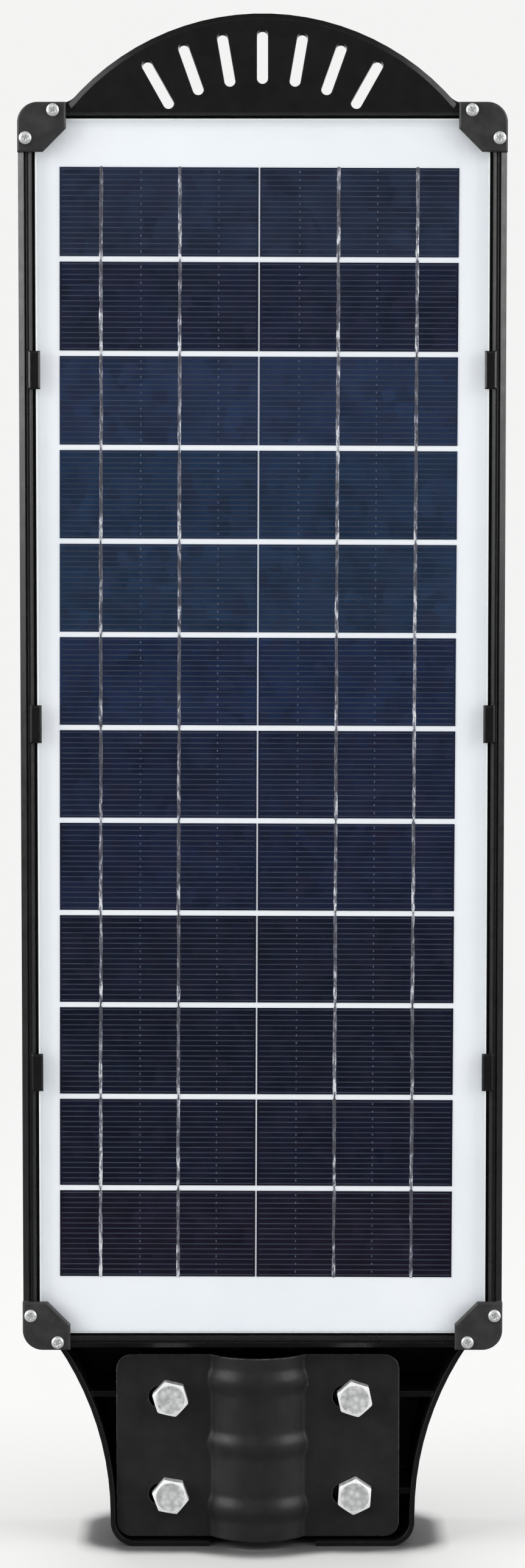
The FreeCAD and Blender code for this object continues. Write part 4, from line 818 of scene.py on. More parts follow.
class Paint:
    """The finishes' materials, each made once."""

    made: dict[str, bpy.types.Material] = {}

    @classmethod
    def of(cls, finish: Finish | Clear | Silicon | Solder) -> bpy.types.Material:
        """The material of a finish, made when it is first asked for.

        Args:
            finish: The finish.

        Returns:
            Its material.
        """
        if finish.name not in cls.made:
            cls.made[finish.name] = finish.material()
        return cls.made[finish.name]

    @classmethod
    def coat(cls, node: str, finish: Finish | Clear | Silicon | Solder) -> None:
        """Give a frame node a finish.

        Args:
            node: The node's name.
            finish: Its finish.
        """
        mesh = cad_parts[node].data
        mesh.materials.clear()
        mesh.materials.append(cls.of(finish))
        log.info("%s: %s", node, finish.name)


# Meshes and pieces


def mesh_of(name: str, points: Sequence[Sequence[float]], faces: Sequence[Sequence[int]]) -> bpy.types.Mesh:
    """Make a mesh whose faces look outward.

    Args:
        name: The mesh's name.
        points: Its vertices.
        faces: Its faces.

    Returns:
        The mesh.
    """
    mesh = bpy.data.meshes.new(name)
    mesh.from_pydata([tuple(p) for p in points], [], [tuple(f) for f in faces])
    work = bmesh.new()
    work.from_mesh(mesh)
    bmesh.ops.remove_doubles(work, verts=work.verts, dist=0.001 * MM)
    bmesh.ops.recalc_face_normals(work, faces=work.faces)
    work.to_mesh(mesh)
    work.free()
    return mesh


def lathe(rings: Sequence[Ring]) -> tuple[list[tuple[float, float, float]], list[tuple[int, ...]]]:
    """Join rings of equal count with faces, and close both ends.

    Args:
        rings: The rings, in order.

    Returns:
        Vertices and faces.
    """
    count = len(rings[0])
    points = [p for ring in rings for p in ring]
    faces: list[tuple[int, ...]] = []
    for i in range(len(rings) - 1):
        for j in range(count):
            k = (j + 1) % count
            faces.append((i * count + j, i * count + k, (i + 1) * count + k, (i + 1) * count + j))
    faces.append(tuple(range(count)))
    faces.append(tuple(range((len(rings) - 1) * count, len(rings) * count)))
    return points, faces


def soften(mesh: bpy.types.Mesh, angle: float = 32.0) -> bpy.types.Mesh:
    """Shade a mesh smooth but for its sharp edges.

    Args:
        mesh: The mesh.
        angle: The sharpest angle that stays smooth, in degrees.

    Returns:
        The same mesh.
    """
    mesh.polygons.foreach_set("use_smooth", [True] * len(mesh.polygons))
    mesh.set_sharp_from_angle(angle=math.radians(angle))
    return mesh


def piece(
    name: str,
    mesh: bpy.types.Mesh,
    finish: Finish | Clear | Silicon | Solder | None,
    body: Body,
    replaced: Iterable[str] = (),
) -> bpy.types.Object:
    """Show a mesh as a piece that rides on a body.

    Args:
        name: The piece's name.
        mesh: Its mesh.
        finish: Its finish, or None where the mesh has its materials.
        body: The body that it rides on.
        replaced: The frame nodes that it stands for.

    Returns:
        The piece.
    """
    shown = bpy.data.objects.new(name, mesh)
    bpy.context.scene.collection.objects.link(shown)
    if finish is not None:
        mesh.materials.clear()
        mesh.materials.append(Paint.of(finish))
    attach(shown, body.value)
    names = list(replaced)
    if names:
        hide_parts(*names)
    log.info("%s: %d faces on %s", name, len(mesh.polygons), body.value)
    return shown


@dataclass(frozen=True)
class Island:
    """One solid of a frame node: its lowest and highest corner."""

    low: Vector
    high: Vector

    @property
    def middle(self) -> Vector:
        """The middle of its box."""
        return (self.low + self.high) / 2


def islands(node: str) -> list[Island]:
    """The separate solids of a frame node.

    Args:
        node: The node's name.

    Returns:
        Their boxes, from the top down and from left to right.
    """
    work = bmesh.new()
    work.from_mesh(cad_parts[node].data)
    bmesh.ops.remove_doubles(work, verts=work.verts, dist=0.001 * MM)
    found: list[Island] = []
    seen: set[bmesh.types.BMVert] = set()
    for start in work.verts:
        if start in seen:
            continue
        seen.add(start)
        waiting, members = [start], []
        while waiting:
            vertex = waiting.pop()
            members.append(vertex.co.copy())
            for edge in vertex.link_edges:
                other = edge.other_vert(vertex)
                if other not in seen:
                    seen.add(other)
                    waiting.append(other)
        low = Vector([min(m[i] for m in members) for i in range(3)])
        high = Vector([max(m[i] for m in members) for i in range(3)])
        found.append(Island(low, high))
    work.free()
    return sorted(found, key=lambda i: (-round(i.middle.z, 4), round(i.middle.x, 4)))


class Recipe:
    """A Geometry Nodes tree with named inputs, run once on a mesh of points."""

    def __init__(self, name: str, inputs: dict[str, str]) -> None:
        """Start a tree.

        Args:
            name: The tree's name.
            inputs: Its named inputs and their socket types.
        """
        self.tree = bpy.data.node_groups.new(name, "GeometryNodeTree")
        face = self.tree.interface
        face.new_socket("Points", in_out="INPUT", socket_type="NodeSocketGeometry")
        self.sockets = {
            n: face.new_socket(n, in_out="INPUT", socket_type=kind).identifier
            for n, kind in inputs.items()
        }
        face.new_socket("Result", in_out="OUTPUT", socket_type="NodeSocketGeometry")
        self.entry = self.tree.nodes.new("NodeGroupInput")
        self.exit = self.tree.nodes.new("NodeGroupOutput")

    def given(self, name: str) -> bpy.types.NodeSocket:
        """One of the tree's inputs, by its name."""
        return self.entry.outputs[name]

    def add(self, kind: str, settings: dict[str, object] | None = None, **inputs: object) -> bpy.types.Node:
        """Add a node.

        Args:
            kind: The node's type.
            settings: Properties of the node itself.
            **inputs: Values or sockets for its inputs; an underscore stands for a space.

        Returns:
            The node.
        """
        node = self.tree.nodes.new(kind)
        for key, value in (settings or {}).items():
            setattr(node, key, value)
        for key, value in inputs.items():
            socket = next(s for s in node.inputs if s.name == key.replace("_", " ") and s.enabled)
            if isinstance(value, bpy.types.NodeSocket):
                self.tree.links.new(value, socket)
            else:
                socket.default_value = value
        return node

    def vector(self, x: object = 0.0, y: object = 0.0, z: object = 0.0) -> bpy.types.NodeSocket:
        """A vector from three numbers or sockets."""
        return self.add("ShaderNodeCombineXYZ", X=x, Y=y, Z=z).outputs[0]

    def maths(self, operation: str, first: object, second: object = 0.0) -> bpy.types.NodeSocket:
        """Combine two numbers.

        Args:
            operation: The Math node's operation.
            first: A number or socket.
            second: Another.

        Returns:
            The result's socket.
        """
        node = self.tree.nodes.new("ShaderNodeMath")
        node.operation = operation
        for socket, value in zip(node.inputs, (first, second)):
            if isinstance(value, bpy.types.NodeSocket):
                self.tree.links.new(value, socket)
            else:
                socket.default_value = value
        return node.outputs[0]

    def close(self, geometry: bpy.types.NodeSocket) -> None:
        """End the tree in Realize Instances and Set Material.

        Args:
            geometry: What the tree made.
        """
        solid = self.add("GeometryNodeRealizeInstances", Geometry=geometry).outputs[0]
        dressed = self.add("GeometryNodeSetMaterial", Geometry=solid, Material=self.given("Finish")).outputs[0]
        self.tree.links.new(dressed, self.exit.inputs[0])

    def run(self, points: Sequence[Vector], values: dict[str, object], name: str) -> bpy.types.Mesh:
        """Run the tree on points and take the result as a plain mesh.

        Args:
            points: Where its instances stand.
            values: A value for each named input.
            name: The mesh's name.

        Returns:
            The mesh.
        """
        seedbed = bpy.data.meshes.new(name + "_points")
        seedbed.from_pydata([tuple(p) for p in points], [], [])
        host = bpy.data.objects.new(name + "_host", seedbed)
        bpy.context.scene.collection.objects.link(host)
        modifier = host.modifiers.new("Recipe", "NODES")
        modifier.node_group = self.tree
        for key, value in values.items():
            modifier[self.sockets[key]] = value
        bpy.context.view_layer.update()
        graph = bpy.context.evaluated_depsgraph_get()
        mesh = bpy.data.meshes.new_from_object(host.evaluated_get(graph))
        mesh.name = name
        host.modifiers.remove(modifier)
        bpy.data.objects.remove(host)
        return mesh


# Screws


@dataclass
class PanScrew:
    """A pan-head screw with a cross recess, its head along +Z from the origin."""

    radius: float
    height: float
    recess: float = 0.75 * MM
    recess_reach: float = 1.5 * MM
    recess_width: float = 0.42 * MM
    shank: float = 1.3 * MM
    shank_length: float = 6 * MM
    spokes: int = 32

    def top(self, x: float, y: float) -> float:
        """Height of the head over a point.

        Args:
            x: Across the head.
            y: Up the head.

        Returns:
            The height above the seat.
        """
        share = min(1.0, math.hypot(x, y) / self.radius)
        dome = self.height * (0.45 + 0.55 * math.sqrt(max(0.0, 1 - share**2.6)))
        along, beside = max(abs(x), abs(y)), min(abs(x), abs(y))
        inside = min(1.0, max(0.0, (self.recess_width - beside) / (0.12 * MM) + 0.5))
        run = min(1.0, max(0.0, (self.recess_reach - along) / (0.45 * MM)))
        return dome - self.recess * inside * run

    def mesh(self) -> bpy.types.Mesh:
        """Build the screw.

        Returns:
            Its mesh.
        """
        steps = [0.97, 0.9, 0.8, 0.7, 0.6, 0.5, 0.4, 0.3, 0.2, 0.1]

        def ring(radius: float, height: float | None) -> Ring:
            """A ring at a height, or on the head's top.

            Args:
                radius: How far from the screw's middle.
                height: Its height, or nothing for a ring on the head's top.

            Returns:
                The ring's points.
            """
            made = []
            for i in range(self.spokes):
                angle = 2 * math.pi * i / self.spokes
                x, y = radius * math.cos(angle), radius * math.sin(angle)
                made.append((x, y, self.top(x, y) if height is None else height))
            return made

        rings = [ring(self.shank * 0.5, -self.shank_length), ring(self.shank, -self.shank_length * 0.85)]
        rings += [ring(self.shank, 0.0), ring(self.radius * 0.94, 0.0), ring(self.radius, 0.06 * self.height)]
        rings += [ring(self.radius, 0.42 * self.height)]
        rings += [ring(self.radius * s, None) for s in steps]
        return soften(mesh_of("pan_screw", *lathe(rings)), 40)


class ScrewSets:
    """Every set of pan-head screws that shows, each set one piece on the lamp."""

    def __init__(self) -> None:
        """Write the recipe that sets a screw on each point."""
        self.recipe = Recipe(
            "screws_on_points",
            {
                "Screw": "NodeSocketObject",
                "Tilt": "NodeSocketFloat",
                "Seed": "NodeSocketInt",
                "Finish": "NodeSocketMaterial",
            },
        )
        recipe = self.recipe
        held = recipe.add("GeometryNodeObjectInfo", Object=recipe.given("Screw")).outputs["Geometry"]
        spin = recipe.add(
            "FunctionNodeRandomValue",
            {"data_type": "FLOAT"},
            Min=0.0,
            Max=math.pi / 2,
            Seed=recipe.given("Seed"),
        )
        drawn = next(o for o in spin.outputs if o.enabled)
        turned = recipe.add("FunctionNodeEulerToRotation", Euler=recipe.vector(0.0, 0.0, drawn)).outputs[0]
        faced = recipe.add("FunctionNodeEulerToRotation", Euler=recipe.vector(recipe.given("Tilt"))).outputs[0]
        both = recipe.tree.nodes.new("FunctionNodeRotateRotation")
        both.rotation_space = "LOCAL"
        recipe.tree.links.new(faced, both.inputs[0])
        recipe.tree.links.new(turned, both.inputs[1])
        placed = recipe.add(
            "GeometryNodeInstanceOnPoints",
            Points=recipe.given("Points"),
            Instance=held,
            Rotation=both.outputs[0],
        ).outputs[0]
        recipe.close(placed)

    def build(self, node: str, facing: Facing, head: float, seed: int, finish: Finish = ZINC_SCREW) -> None:
        """Replace a frame node of screws.

        Args:
            node: The node.
            facing: Where the heads look.
            head: How high a head is.
            seed: Seed for the turns of the crosses.
            finish: Their finish.
        """
        found = islands(node)
        radius = max(i.high.x - i.low.x for i in found) / 2
        master = bpy.data.objects.new("screw_master", PanScrew(radius, head).mesh())
        bpy.context.scene.collection.objects.link(master)
        points = []
        for i in found:
            front = i.low.y + head if facing is Facing.PANEL else i.high.y - head
            points.append(Vector((i.middle.x, front, i.middle.z)))
        values = {"Screw": master, "Tilt": facing.value, "Seed": seed, "Finish": Paint.of(finish)}
        mesh = self.recipe.run(points, values, node + "_crossed")
        bpy.data.objects.remove(master)
        piece(node + "_crossed", mesh, None, Body.LAMP, [node])


# Solar panel


# A tone for each row of cells: they differ at random, and the upper rows are lighter and bluer as a painted
# reflection.
ROW_TONES_WITH_REFLECTION: tuple[Colour, ...] = (
    (0.0108, 0.0192, 0.0433),
    (0.0061, 0.0102, 0.0289),
    (0.0108, 0.0231, 0.0606),
    (0.0078, 0.0229, 0.0573),
    (0.0093, 0.0252, 0.0597),
    (0.0061, 0.0155, 0.0486),
    (0.0059, 0.0116, 0.0352),
    (0.0052, 0.0099, 0.0331),
    (0.0037, 0.0061, 0.0199),
    (0.0023, 0.0044, 0.0155),
    (0.0030, 0.0040, 0.0166),
    (0.0048, 0.0033, 0.0132),
)


@dataclass
class SolarPanel:
    """The panel: glass with ground edges, white backing, cells, printed lines and ribbons."""

    chamfer: float = 0.7 * MM
    turn: float = math.radians(0.2)
    finger_count: int = 17
    finger_pitch: float = 2.07 * MM
    finger_thickness: float = 0.42 * MM
    print_height: float = 0.012 * MM
    dot_pitch: float = 3.1 * MM
    dot_across: tuple[float, float] = (32 * MM, 62.6 * MM)
    ribbon_step: float = 0.8 * MM
    seed: int = 7

    def glass(self) -> None:
        """The pane, closed, with chamfered edges in a finish of their own."""
        low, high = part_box("panel_glass")
        inset = self.chamfer
        rings = []
        for y, draw in ((low.y, inset), (low.y + inset, 0.0), (high.y - inset / 3, 0.0), (high.y, inset / 3)):
            left, right = low.x + draw, high.x - draw
            bottom, top = low.z + draw, high.z - draw
            rings.append([(left, y, bottom), (right, y, bottom), (right, y, top), (left, y, top)])
        mesh = mesh_of("panel_pane", *lathe(rings))
        mesh.materials.append(Paint.of(GLASS))
        mesh.materials.append(Paint.of(GLASS_EDGE))
        for face in mesh.polygons:
            face.material_index = 0 if abs(face.normal.y) > 0.9 else 1
        piece("panel_pane", mesh, None, Body.LAMP, ["panel_glass"])

    def backing(self) -> None:
        """The white sheet behind the cells."""
        _, cells_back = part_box("solar_cells")
        low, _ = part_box("panel_encapsulant")
        _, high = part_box("panel_backsheet")
        front = cells_back.y + 0.01 * MM
        edge = 0.2 * MM
        rings = []
        for y, draw in ((front, edge), (front + edge, 0.0), (high.y, 0.0)):
            left, right = low.x + draw, high.x - draw
            bottom, top = low.z + draw, high.z - draw
            rings.append([(left, y, bottom), (right, y, bottom), (right, y, top), (left, y, top)])
        mesh = mesh_of("panel_backing", *lathe(rings))
        piece("panel_backing", mesh, BACKING, Body.LAMP, ["panel_encapsulant", "panel_backsheet"])

    def cells(self) -> list[Island]:
        """Dress the cells, a tone for each row.

        Returns:
            The cells' boxes.
        """
        found = islands("solar_cells")
        low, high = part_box("solar_cells")
        Paint.coat("solar_cells", Silicon("silicon_cells", ROW_TONES_WITH_REFLECTION, low.z, high.z))
        return found

    def bars(
        self, name: str, points: Sequence[Vector], size: Vector, count: int, pitch: float, finish: Finish
    ) -> None:
        """Stack thin bars at each point.

        Args:
            name: The piece's name.
            points: The stacks' middles.
            size: One bar's size.
            count: Bars in a stack.
            pitch: From one bar to the next.
            finish: Their finish.
        """
        recipe = Recipe(
            name + "_recipe",
            {
                "Bar size": "NodeSocketVector",
                "Count": "NodeSocketInt",
                "Pitch": "NodeSocketFloat",
                "Turn": "NodeSocketFloat",
                "Finish": "NodeSocketMaterial",
            },
        )
        bar = recipe.add("GeometryNodeMeshCube", Size=recipe.given("Bar size")).outputs[0]
        gaps = recipe.maths("SUBTRACT", recipe.given("Count"), 1.0)
        down = recipe.maths("MULTIPLY", recipe.maths("MULTIPLY", gaps, recipe.given("Pitch")), -0.5)
        line = recipe.add(
            "GeometryNodeMeshLine",
            Count=recipe.given("Count"),
            Start_Location=recipe.vector(0.0, 0.0, down),
            Offset=recipe.vector(0.0, 0.0, recipe.given("Pitch")),
        ).outputs[0]
        stack = recipe.add("GeometryNodeInstanceOnPoints", Points=line, Instance=bar).outputs[0]
        turned = recipe.add(
            "FunctionNodeEulerToRotation", Euler=recipe.vector(0.0, recipe.given("Turn"))
        ).outputs[0]
        laid = recipe.add(
            "GeometryNodeInstanceOnPoints", Points=recipe.given("Points"), Instance=stack, Rotation=turned
        )
        recipe.close(laid.outputs[0])
        values = {
            "Bar size": size, "Count": count, "Pitch": pitch, "Turn": self.turn, "Finish": Paint.of(finish)
        }
        mesh = recipe.run(points, values, name)
        piece(name, mesh, None, Body.LAMP)

    def prints(self, cells: Sequence[Island]) -> None:
        """The finger lines and the dotted lines printed on the cells.

        Args:
            cells: The cells' boxes.
        """
        face = min(i.low.y for i in cells) - self.print_height / 2
        width = cells[0].high.x - cells[0].low.x
        lean = math.sin(self.turn)
        centres = [Vector((i.middle.x, face, i.middle.z)) for i in cells]
        size = Vector((width - 1.6 * MM, self.print_height, self.finger_thickness))
        self.bars("cell_fingers", centres, size, self.finger_count, self.finger_pitch, PRINTED_SILVER)
        left = min(i.low.x for i in cells)
        right = max(i.high.x for i in cells)
        up = (min(i.low.z for i in cells) + max(i.high.z for i in cells)) / 2
        dots = []
        height = cells[0].high.z - cells[0].low.z
        for row in sorted({round(i.middle.z, 5) for i in cells[::2]}):
            drift = (row - up) * lean
            middle = (left + right) / 2 + drift
            half = (right - left) / 2 - abs(lean) * (max(i.high.z for i in cells) - up)
            for across in self.dot_across:
                for side in (-1, 1):
                    dots.append(Vector((middle + side * (half - across), face - self.print_height, row)))
        count = int(height / self.dot_pitch)
        size = Vector((0.42 * MM, self.print_height, 0.8 * MM))
        self.bars("cell_dotted_lines", dots, size, count, self.dot_pitch, PRINTED_DOTS)

    def ribbons(self, cells: Sequence[Island]) -> None:
        """The soldered ribbons: lumpy on the cells, narrower over the gaps.

        Args:
            cells: The cells' boxes.
        """
        draw = random.Random(self.seed)
        rows = sorted({(round(i.low.z, 4), round(i.high.z, 4)) for i in cells})
        points: list[tuple[float, float, float]] = []
        faces: list[tuple[int, ...]] = []
        for strip in islands("cell_ribbons"):
            bottom = Vector((strip.middle.x, 0, strip.low.z))
            half = (strip.high.x - strip.low.x - math.sin(self.turn) * (strip.high.z - strip.low.z)) / 2
            count = int((strip.high.z - strip.low.z) / self.ribbon_step)
            first = len(points)
            sway, swell = 0.0, 1.0
            for i in range(count + 1):
                z = bottom.z + (strip.high.z - strip.low.z) * i / count
                over = any(a <= z <= b for a, b in rows)
                sway += draw.uniform(-0.05, 0.05) * MM - 0.12 * sway
                swell += draw.uniform(-0.12, 0.12) - 0.2 * (swell - 0.95)
                wide = half * min(1.0, max(0.55, swell)) if over else half * 0.42
                middle = strip.middle.x + (z - (strip.low.z + strip.high.z) / 2) * math.sin(self.turn) + sway
                front = strip.low.y + (draw.uniform(0.0, 0.05) * MM if over else 0.07 * MM)
                back = strip.high.y
                points += [
                    (middle - wide, back, z),
                    (middle - wide * 0.8, front + 0.05 * MM, z),
                    (middle + draw.uniform(-0.3, 0.3) * wide, front, z),
                    (middle + wide * 0.8, front + 0.05 * MM, z),
                    (middle + wide, back, z),
                ]
                if i:
                    a, b = first + (i - 1) * 5, first + i * 5
                    faces += [(a + j, a + (j + 1) % 5, b + (j + 1) % 5, b + j) for j in range(5)]
            faces.append(tuple(first + j for j in range(5)))
            faces.append(tuple(first + count * 5 + j for j in range(5)))
        mesh = soften(mesh_of("soldered_ribbons", points, faces), 60)
        lowest = [i for i in cells if i.low.z < rows[0][0] + 1 * MM]
        solder = Solder("ribbon_solder", min(i.low.z for i in lowest), rows[2][0] - rows[0][0])
        piece("soldered_ribbons", mesh, solder, Body.LAMP, ["cell_ribbons"])

    def build(self) -> None:
        """Build and dress the whole panel."""
        self.glass()
        self.backing()
        found = self.cells()
        self.prints(found)
        self.ribbons(found)
        Paint.coat("panel_gasket", FOAM)
        Paint.coat("panel_junction_box", DARK_BOX)


# Clamp


@dataclass
class Clamp:
    """The pressed plate with its beads, and the four hex bolts."""

    thickness: float = 2 * MM
    corner: float = 6 * MM
    channel: float = 24 * MM
    bead_proud: float = 1.1 * MM
    bead_reach: float = 5.6 * MM
    bead_places: tuple[float, ...] = (27 * MM, 1 * MM, -25 * MM)
    fold: float = 1.1 * MM
    step: float = 0.75 * MM
    slot_radius: float = 4.5 * MM
    slot_play: float = 2.5 * MM
    edge: float = 0.3 * MM
    pitch: float = 1.25 * MM
    thread_depth: float = 0.6 * MM
    turns: tuple[float, ...] = (47, 42, 50, 26)
    spokes: int = 72
    centre: float = field(init=False, default=0.0)
    flat: float = field(init=False, default=0.0)

    def front(self, x: float, z: float) -> float:
        """Depth of the plate's outer face.

        Args:
            x: Across.
            z: Up.

        Returns:
            Y of the face.
        """
        proud = 0.0
        for place in self.bead_places:
            away = abs(z - place) / self.bead_reach
            if away < 1:
                proud = max(proud, self.bead_proud * (0.5 + 0.5 * math.cos(math.pi * away)) ** 0.8)
        radius = self.channel + proud
        across = x - self.centre
        if abs(across) >= radius:
            return self.flat
        arch = -math.sqrt(radius * radius - across * across)
        share = max(0.0, min(1.0, 0.5 + 0.5 * (self.flat - arch) / self.fold))
        return self.flat * (1 - share) + arch * share - self.fold * share * (1 - share) * 0.5

    def outline(self, low: Vector, high: Vector) -> list[Vector]:
        """The plate's outline with round corners.

        Args:
            low: Its lowest corner.
            high: Its highest corner.

        Returns:
            Points in X and Z, in order.
        """
        line: list[Vector] = []
        corners = ((high.x, high.z, 0), (low.x, high.z, 90), (low.x, low.z, 180), (high.x, low.z, 270))
        for x, z, start in corners:
            inward = Vector((math.copysign(1, self.centre - x), math.copysign(1, (low.z + high.z) / 2 - z)))
            middle = Vector((x, z)) + inward * self.corner
            for i in range(9):
                angle = math.radians(start + 90 * i / 8)
                line.append(middle + self.corner * Vector((math.cos(angle), math.sin(angle))))
        full: list[Vector] = []
        for first, second in zip(line, line[1:] + line[:1]):
            parts = max(1, int((second - first).length / self.step))
            full += [first.lerp(second, i / parts) for i in range(parts)]
        return full

    def slot(self, middle: Vector) -> list[Vector]:
        """One bolt slot's outline.

        Args:
            middle: The slot's middle in X and Z.

        Returns:
            Points in order.
        """
        line = []
        for side, start in ((1, -90), (-1, 90)):
            for i in range(13):
                angle = math.radians(start + 180 * i / 12)
                line.append(
                    middle + Vector((side * self.slot_play, 0)) + self.slot_radius * Vector(
                        (math.cos(angle), math.sin(angle)),
                    ),
                )
        return line

    def plate(self) -> None:
        """The pressed plate as one formed sheet."""
        low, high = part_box("clamp_plate")
        self.centre = (low.x + high.x) / 2
        self.flat = high.y - self.thickness
        edge = self.outline(low, high)
        bolts = [sum(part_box(f"clamp_bolt_{i}"), Vector()) / 2 for i in (1, 2, 3, 4)]
        holes = [self.slot(Vector((b.x + self.centre, b.z))) for b in bolts]
        points = list(edge)
        loops = [list(range(len(edge)))]
        for hole in holes:
            loops.append(list(range(len(points), len(points) + len(hole))))
            points += hole
        middle = [Vector((b.x + self.centre, b.z)) for b in bolts]
        margin = self.step * 0.6
        x = low.x + self.step
        while x < high.x:
            z = low.z + self.step
            while z < high.z:
                spot = Vector((x, z))
                self.keep(points, spot, low, high, middle, margin)
                z += self.step
            x += self.step
        verts, _, faces, _, _, _ = delaunay_2d_cdt(points, [], loops, 1, 1e-7)
        inside = [f for f in faces if self.solid(sum((verts[i] for i in f), Vector((0, 0))) / len(f), middle)]
        mesh = mesh_of("pressed_plate", [(v.x, self.front(v.x, v.y), v.y) for v in verts], inside)
        work = bmesh.new()
        work.from_mesh(mesh)
        if sum(f.normal.y for f in work.faces) > 0:
            bmesh.ops.reverse_faces(work, faces=work.faces)
        bmesh.ops.delete(work, geom=[v for v in work.verts if not v.link_faces], context="VERTS")
        work.to_mesh(mesh)
        work.free()
        shown = bpy.data.objects.new("plate_work", mesh)
        bpy.context.scene.collection.objects.link(shown)
        shell = shown.modifiers.new("Sheet", "SOLIDIFY")
        shell.thickness = self.thickness
        shell.offset = -1.0
        shell.use_even_offset = True
        bevel = shown.modifiers.new("Edge", "BEVEL")
        bevel.width = self.edge
        bevel.segments = 2
        bevel.limit_method = "ANGLE"
        bevel.angle_limit = math.radians(60)
        graph = bpy.context.evaluated_depsgraph_get()
        formed = bpy.data.meshes.new_from_object(shown.evaluated_get(graph))
        bpy.data.objects.remove(shown)
        piece("pressed_plate", soften(formed, 40), PAINTED_STEEL, Body.CLAMP, ["clamp_plate"])

    def keep(
        self,
        points: list[Vector],
        spot: Vector,
        low: Vector,
        high: Vector,
        slots: Sequence[Vector],
        margin: float,
    ) -> None:
        """Add a grid point unless it crowds an outline.

        Args:
            points: The points so far.
            spot: The point.
            low: The plate's lowest corner.
            high: The plate's highest corner.
            slots: The slots' middles.
            margin: How near an outline it may be.
        """
        inner = self.corner
        dx = max(low.x + inner - spot.x, spot.x - (high.x - inner), 0.0)
        dz = max(low.z + inner - spot.y, spot.y - (high.z - inner), 0.0)
        if math.hypot(dx, dz) > inner - margin:
            return
        if not self.solid(spot, slots, margin):
            return
        points.append(spot)

    def solid(self, spot: Vector, slots: Sequence[Vector], margin: float = 0.0) -> bool:
        """Whether a point is clear of every slot.

        Args:
            spot: The point in X and Z.
            slots: The slots' middles.
            margin: Extra room round a slot.

        Returns:
            True on the sheet.
        """
        for middle in slots:
            across = max(0.0, abs(spot.x - middle.x) - self.slot_play)
            if math.hypot(across, spot.y - middle.y) < self.slot_radius + margin:
                return False
        return True

    def bolt(self, number: int) -> None:
        """One hex bolt with a chamfered, slightly dished head and a cut thread.

        Args:
            number: Its number, from 1.
        """
        node = f"clamp_bolt_{number}"
        low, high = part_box(node)
        across = 13 * MM / 2
        height = 5.3 * MM
        radius = 4 * MM
        crown = 0.93 * across
        turn = math.radians(self.turns[number - 1])
        x, z = (low.x + high.x) / 2, (low.z + high.z) / 2
        seat = low.y + height

        def ring(reach: Callable[[float], float], depth: Callable[[float], float]) -> Ring:
            """A ring of the head or shank.

            Args:
                reach: Radius for an angle.
                depth: Y for an angle.

            Returns:
                The ring.
            """
            made = []
            for i in range(self.spokes):
                angle = 2 * math.pi * i / self.spokes
                made.append(
                    (x + reach(angle) * math.cos(angle), depth(angle), z + reach(angle) * math.sin(angle)),
                )
            return made

        def hexagon(angle: float) -> float:
            """The hexagon's reach at an angle."""
            part = (angle - turn) % (math.pi / 3) - math.pi / 6
            return across / math.cos(part)

        def chamfer(angle: float) -> float:
            """Where the crown's cone cuts the flats."""
            return low.y + (hexagon(angle) - crown) * math.tan(math.radians(28))

        def even(value: float) -> Callable[[float], float]:
            """The same number for every angle."""
            return lambda _: value

        rings = [
            ring(even(0.35 * crown), even(low.y + 0.16 * MM)), ring(even(0.78 * crown), even(low.y + 0.14 * MM))
        ]
        rings += [ring(even(0.86 * crown), even(low.y + 0.02 * MM)), ring(even(0.95 * crown), even(low.y))]
        rings += [ring(even(crown), even(low.y + 0.04 * MM))]
        rings += [ring(lambda a: 0.992 * hexagon(a), chamfer), ring(hexagon, lambda a: chamfer(a) + 0.1 * MM)]
        rings += [
            ring(hexagon, even(seat - 0.45 * MM)), ring(lambda a: 0.985 * hexagon(a), even(seat - 0.35 * MM))
        ]
        rings += [ring(even(0.95 * across), even(seat - 0.3 * MM)), ring(even(0.95 * across), even(seat))]
        rings += [ring(even(radius), even(seat)), ring(even(radius), even(seat + 2.5 * MM))]
        per_turn = 6
        y = seat + 3 * MM
        end = high.y - 0.9 * MM
        while y < end:
            def groove(angle: float, here: float = y) -> float:
                """Radius of the thread at an angle."""
                phase = (here / self.pitch + angle / (2 * math.pi)) % 1.0
                return radius - self.thread_depth * abs(2 * phase - 1)

            rings.append(ring(groove, even(y)))
            y += self.pitch / per_turn
        rings += [
            ring(even(radius - self.thread_depth), even(high.y - 0.4 * MM)),
            ring(even(radius * 0.78), even(high.y)),
        ]
        mesh = soften(mesh_of(f"hex_bolt_{number}", *lathe(rings)), 24)
        mesh.materials.append(Paint.of(ZINC_BOLT))
        mesh.materials.append(Paint.of(ZINC_RIM))
        for face in mesh.polygons:
            out = math.hypot(face.center.x - x, face.center.z - z)
            face.material_index = 1 if out > 0.96 * crown and face.center.y < low.y + 0.9 * MM else 0
        piece(f"hex_bolt_{number}", mesh, None, Body(f"bolt_{number}"), [node])

    def build(self) -> None:
        """Build the clamp."""
        self.plate()
        for number in (1, 2, 3, 4):
            self.bolt(number)
        Paint.coat("clamp_nuts", ZINC_BOLT)


# Nodes that keep their shape


@dataclass
class Shell:
    """The housing, corner caps, clips and covers, as the frame has them."""

    finishes: dict[str, Finish] = field(
        default_factory=lambda: {
            "housing": BLACK_ABS,
            "battery_cover": BLACK_ABS,
            "panel_clips": BLACK_ABS,
            "corner_cap_top_left": CAP_PLASTIC,
            "corner_cap_top_right": CAP_PLASTIC,
            "corner_cap_bottom_left": CAP_PLASTIC,
            "corner_cap_bottom_right": CAP_PLASTIC,
            "battery_cover_gasket": RUBBER,
        }
    )

    def build(self) -> None:
        """Dress the nodes."""
        for node, finish in self.finishes.items():
            Paint.coat(node, finish)


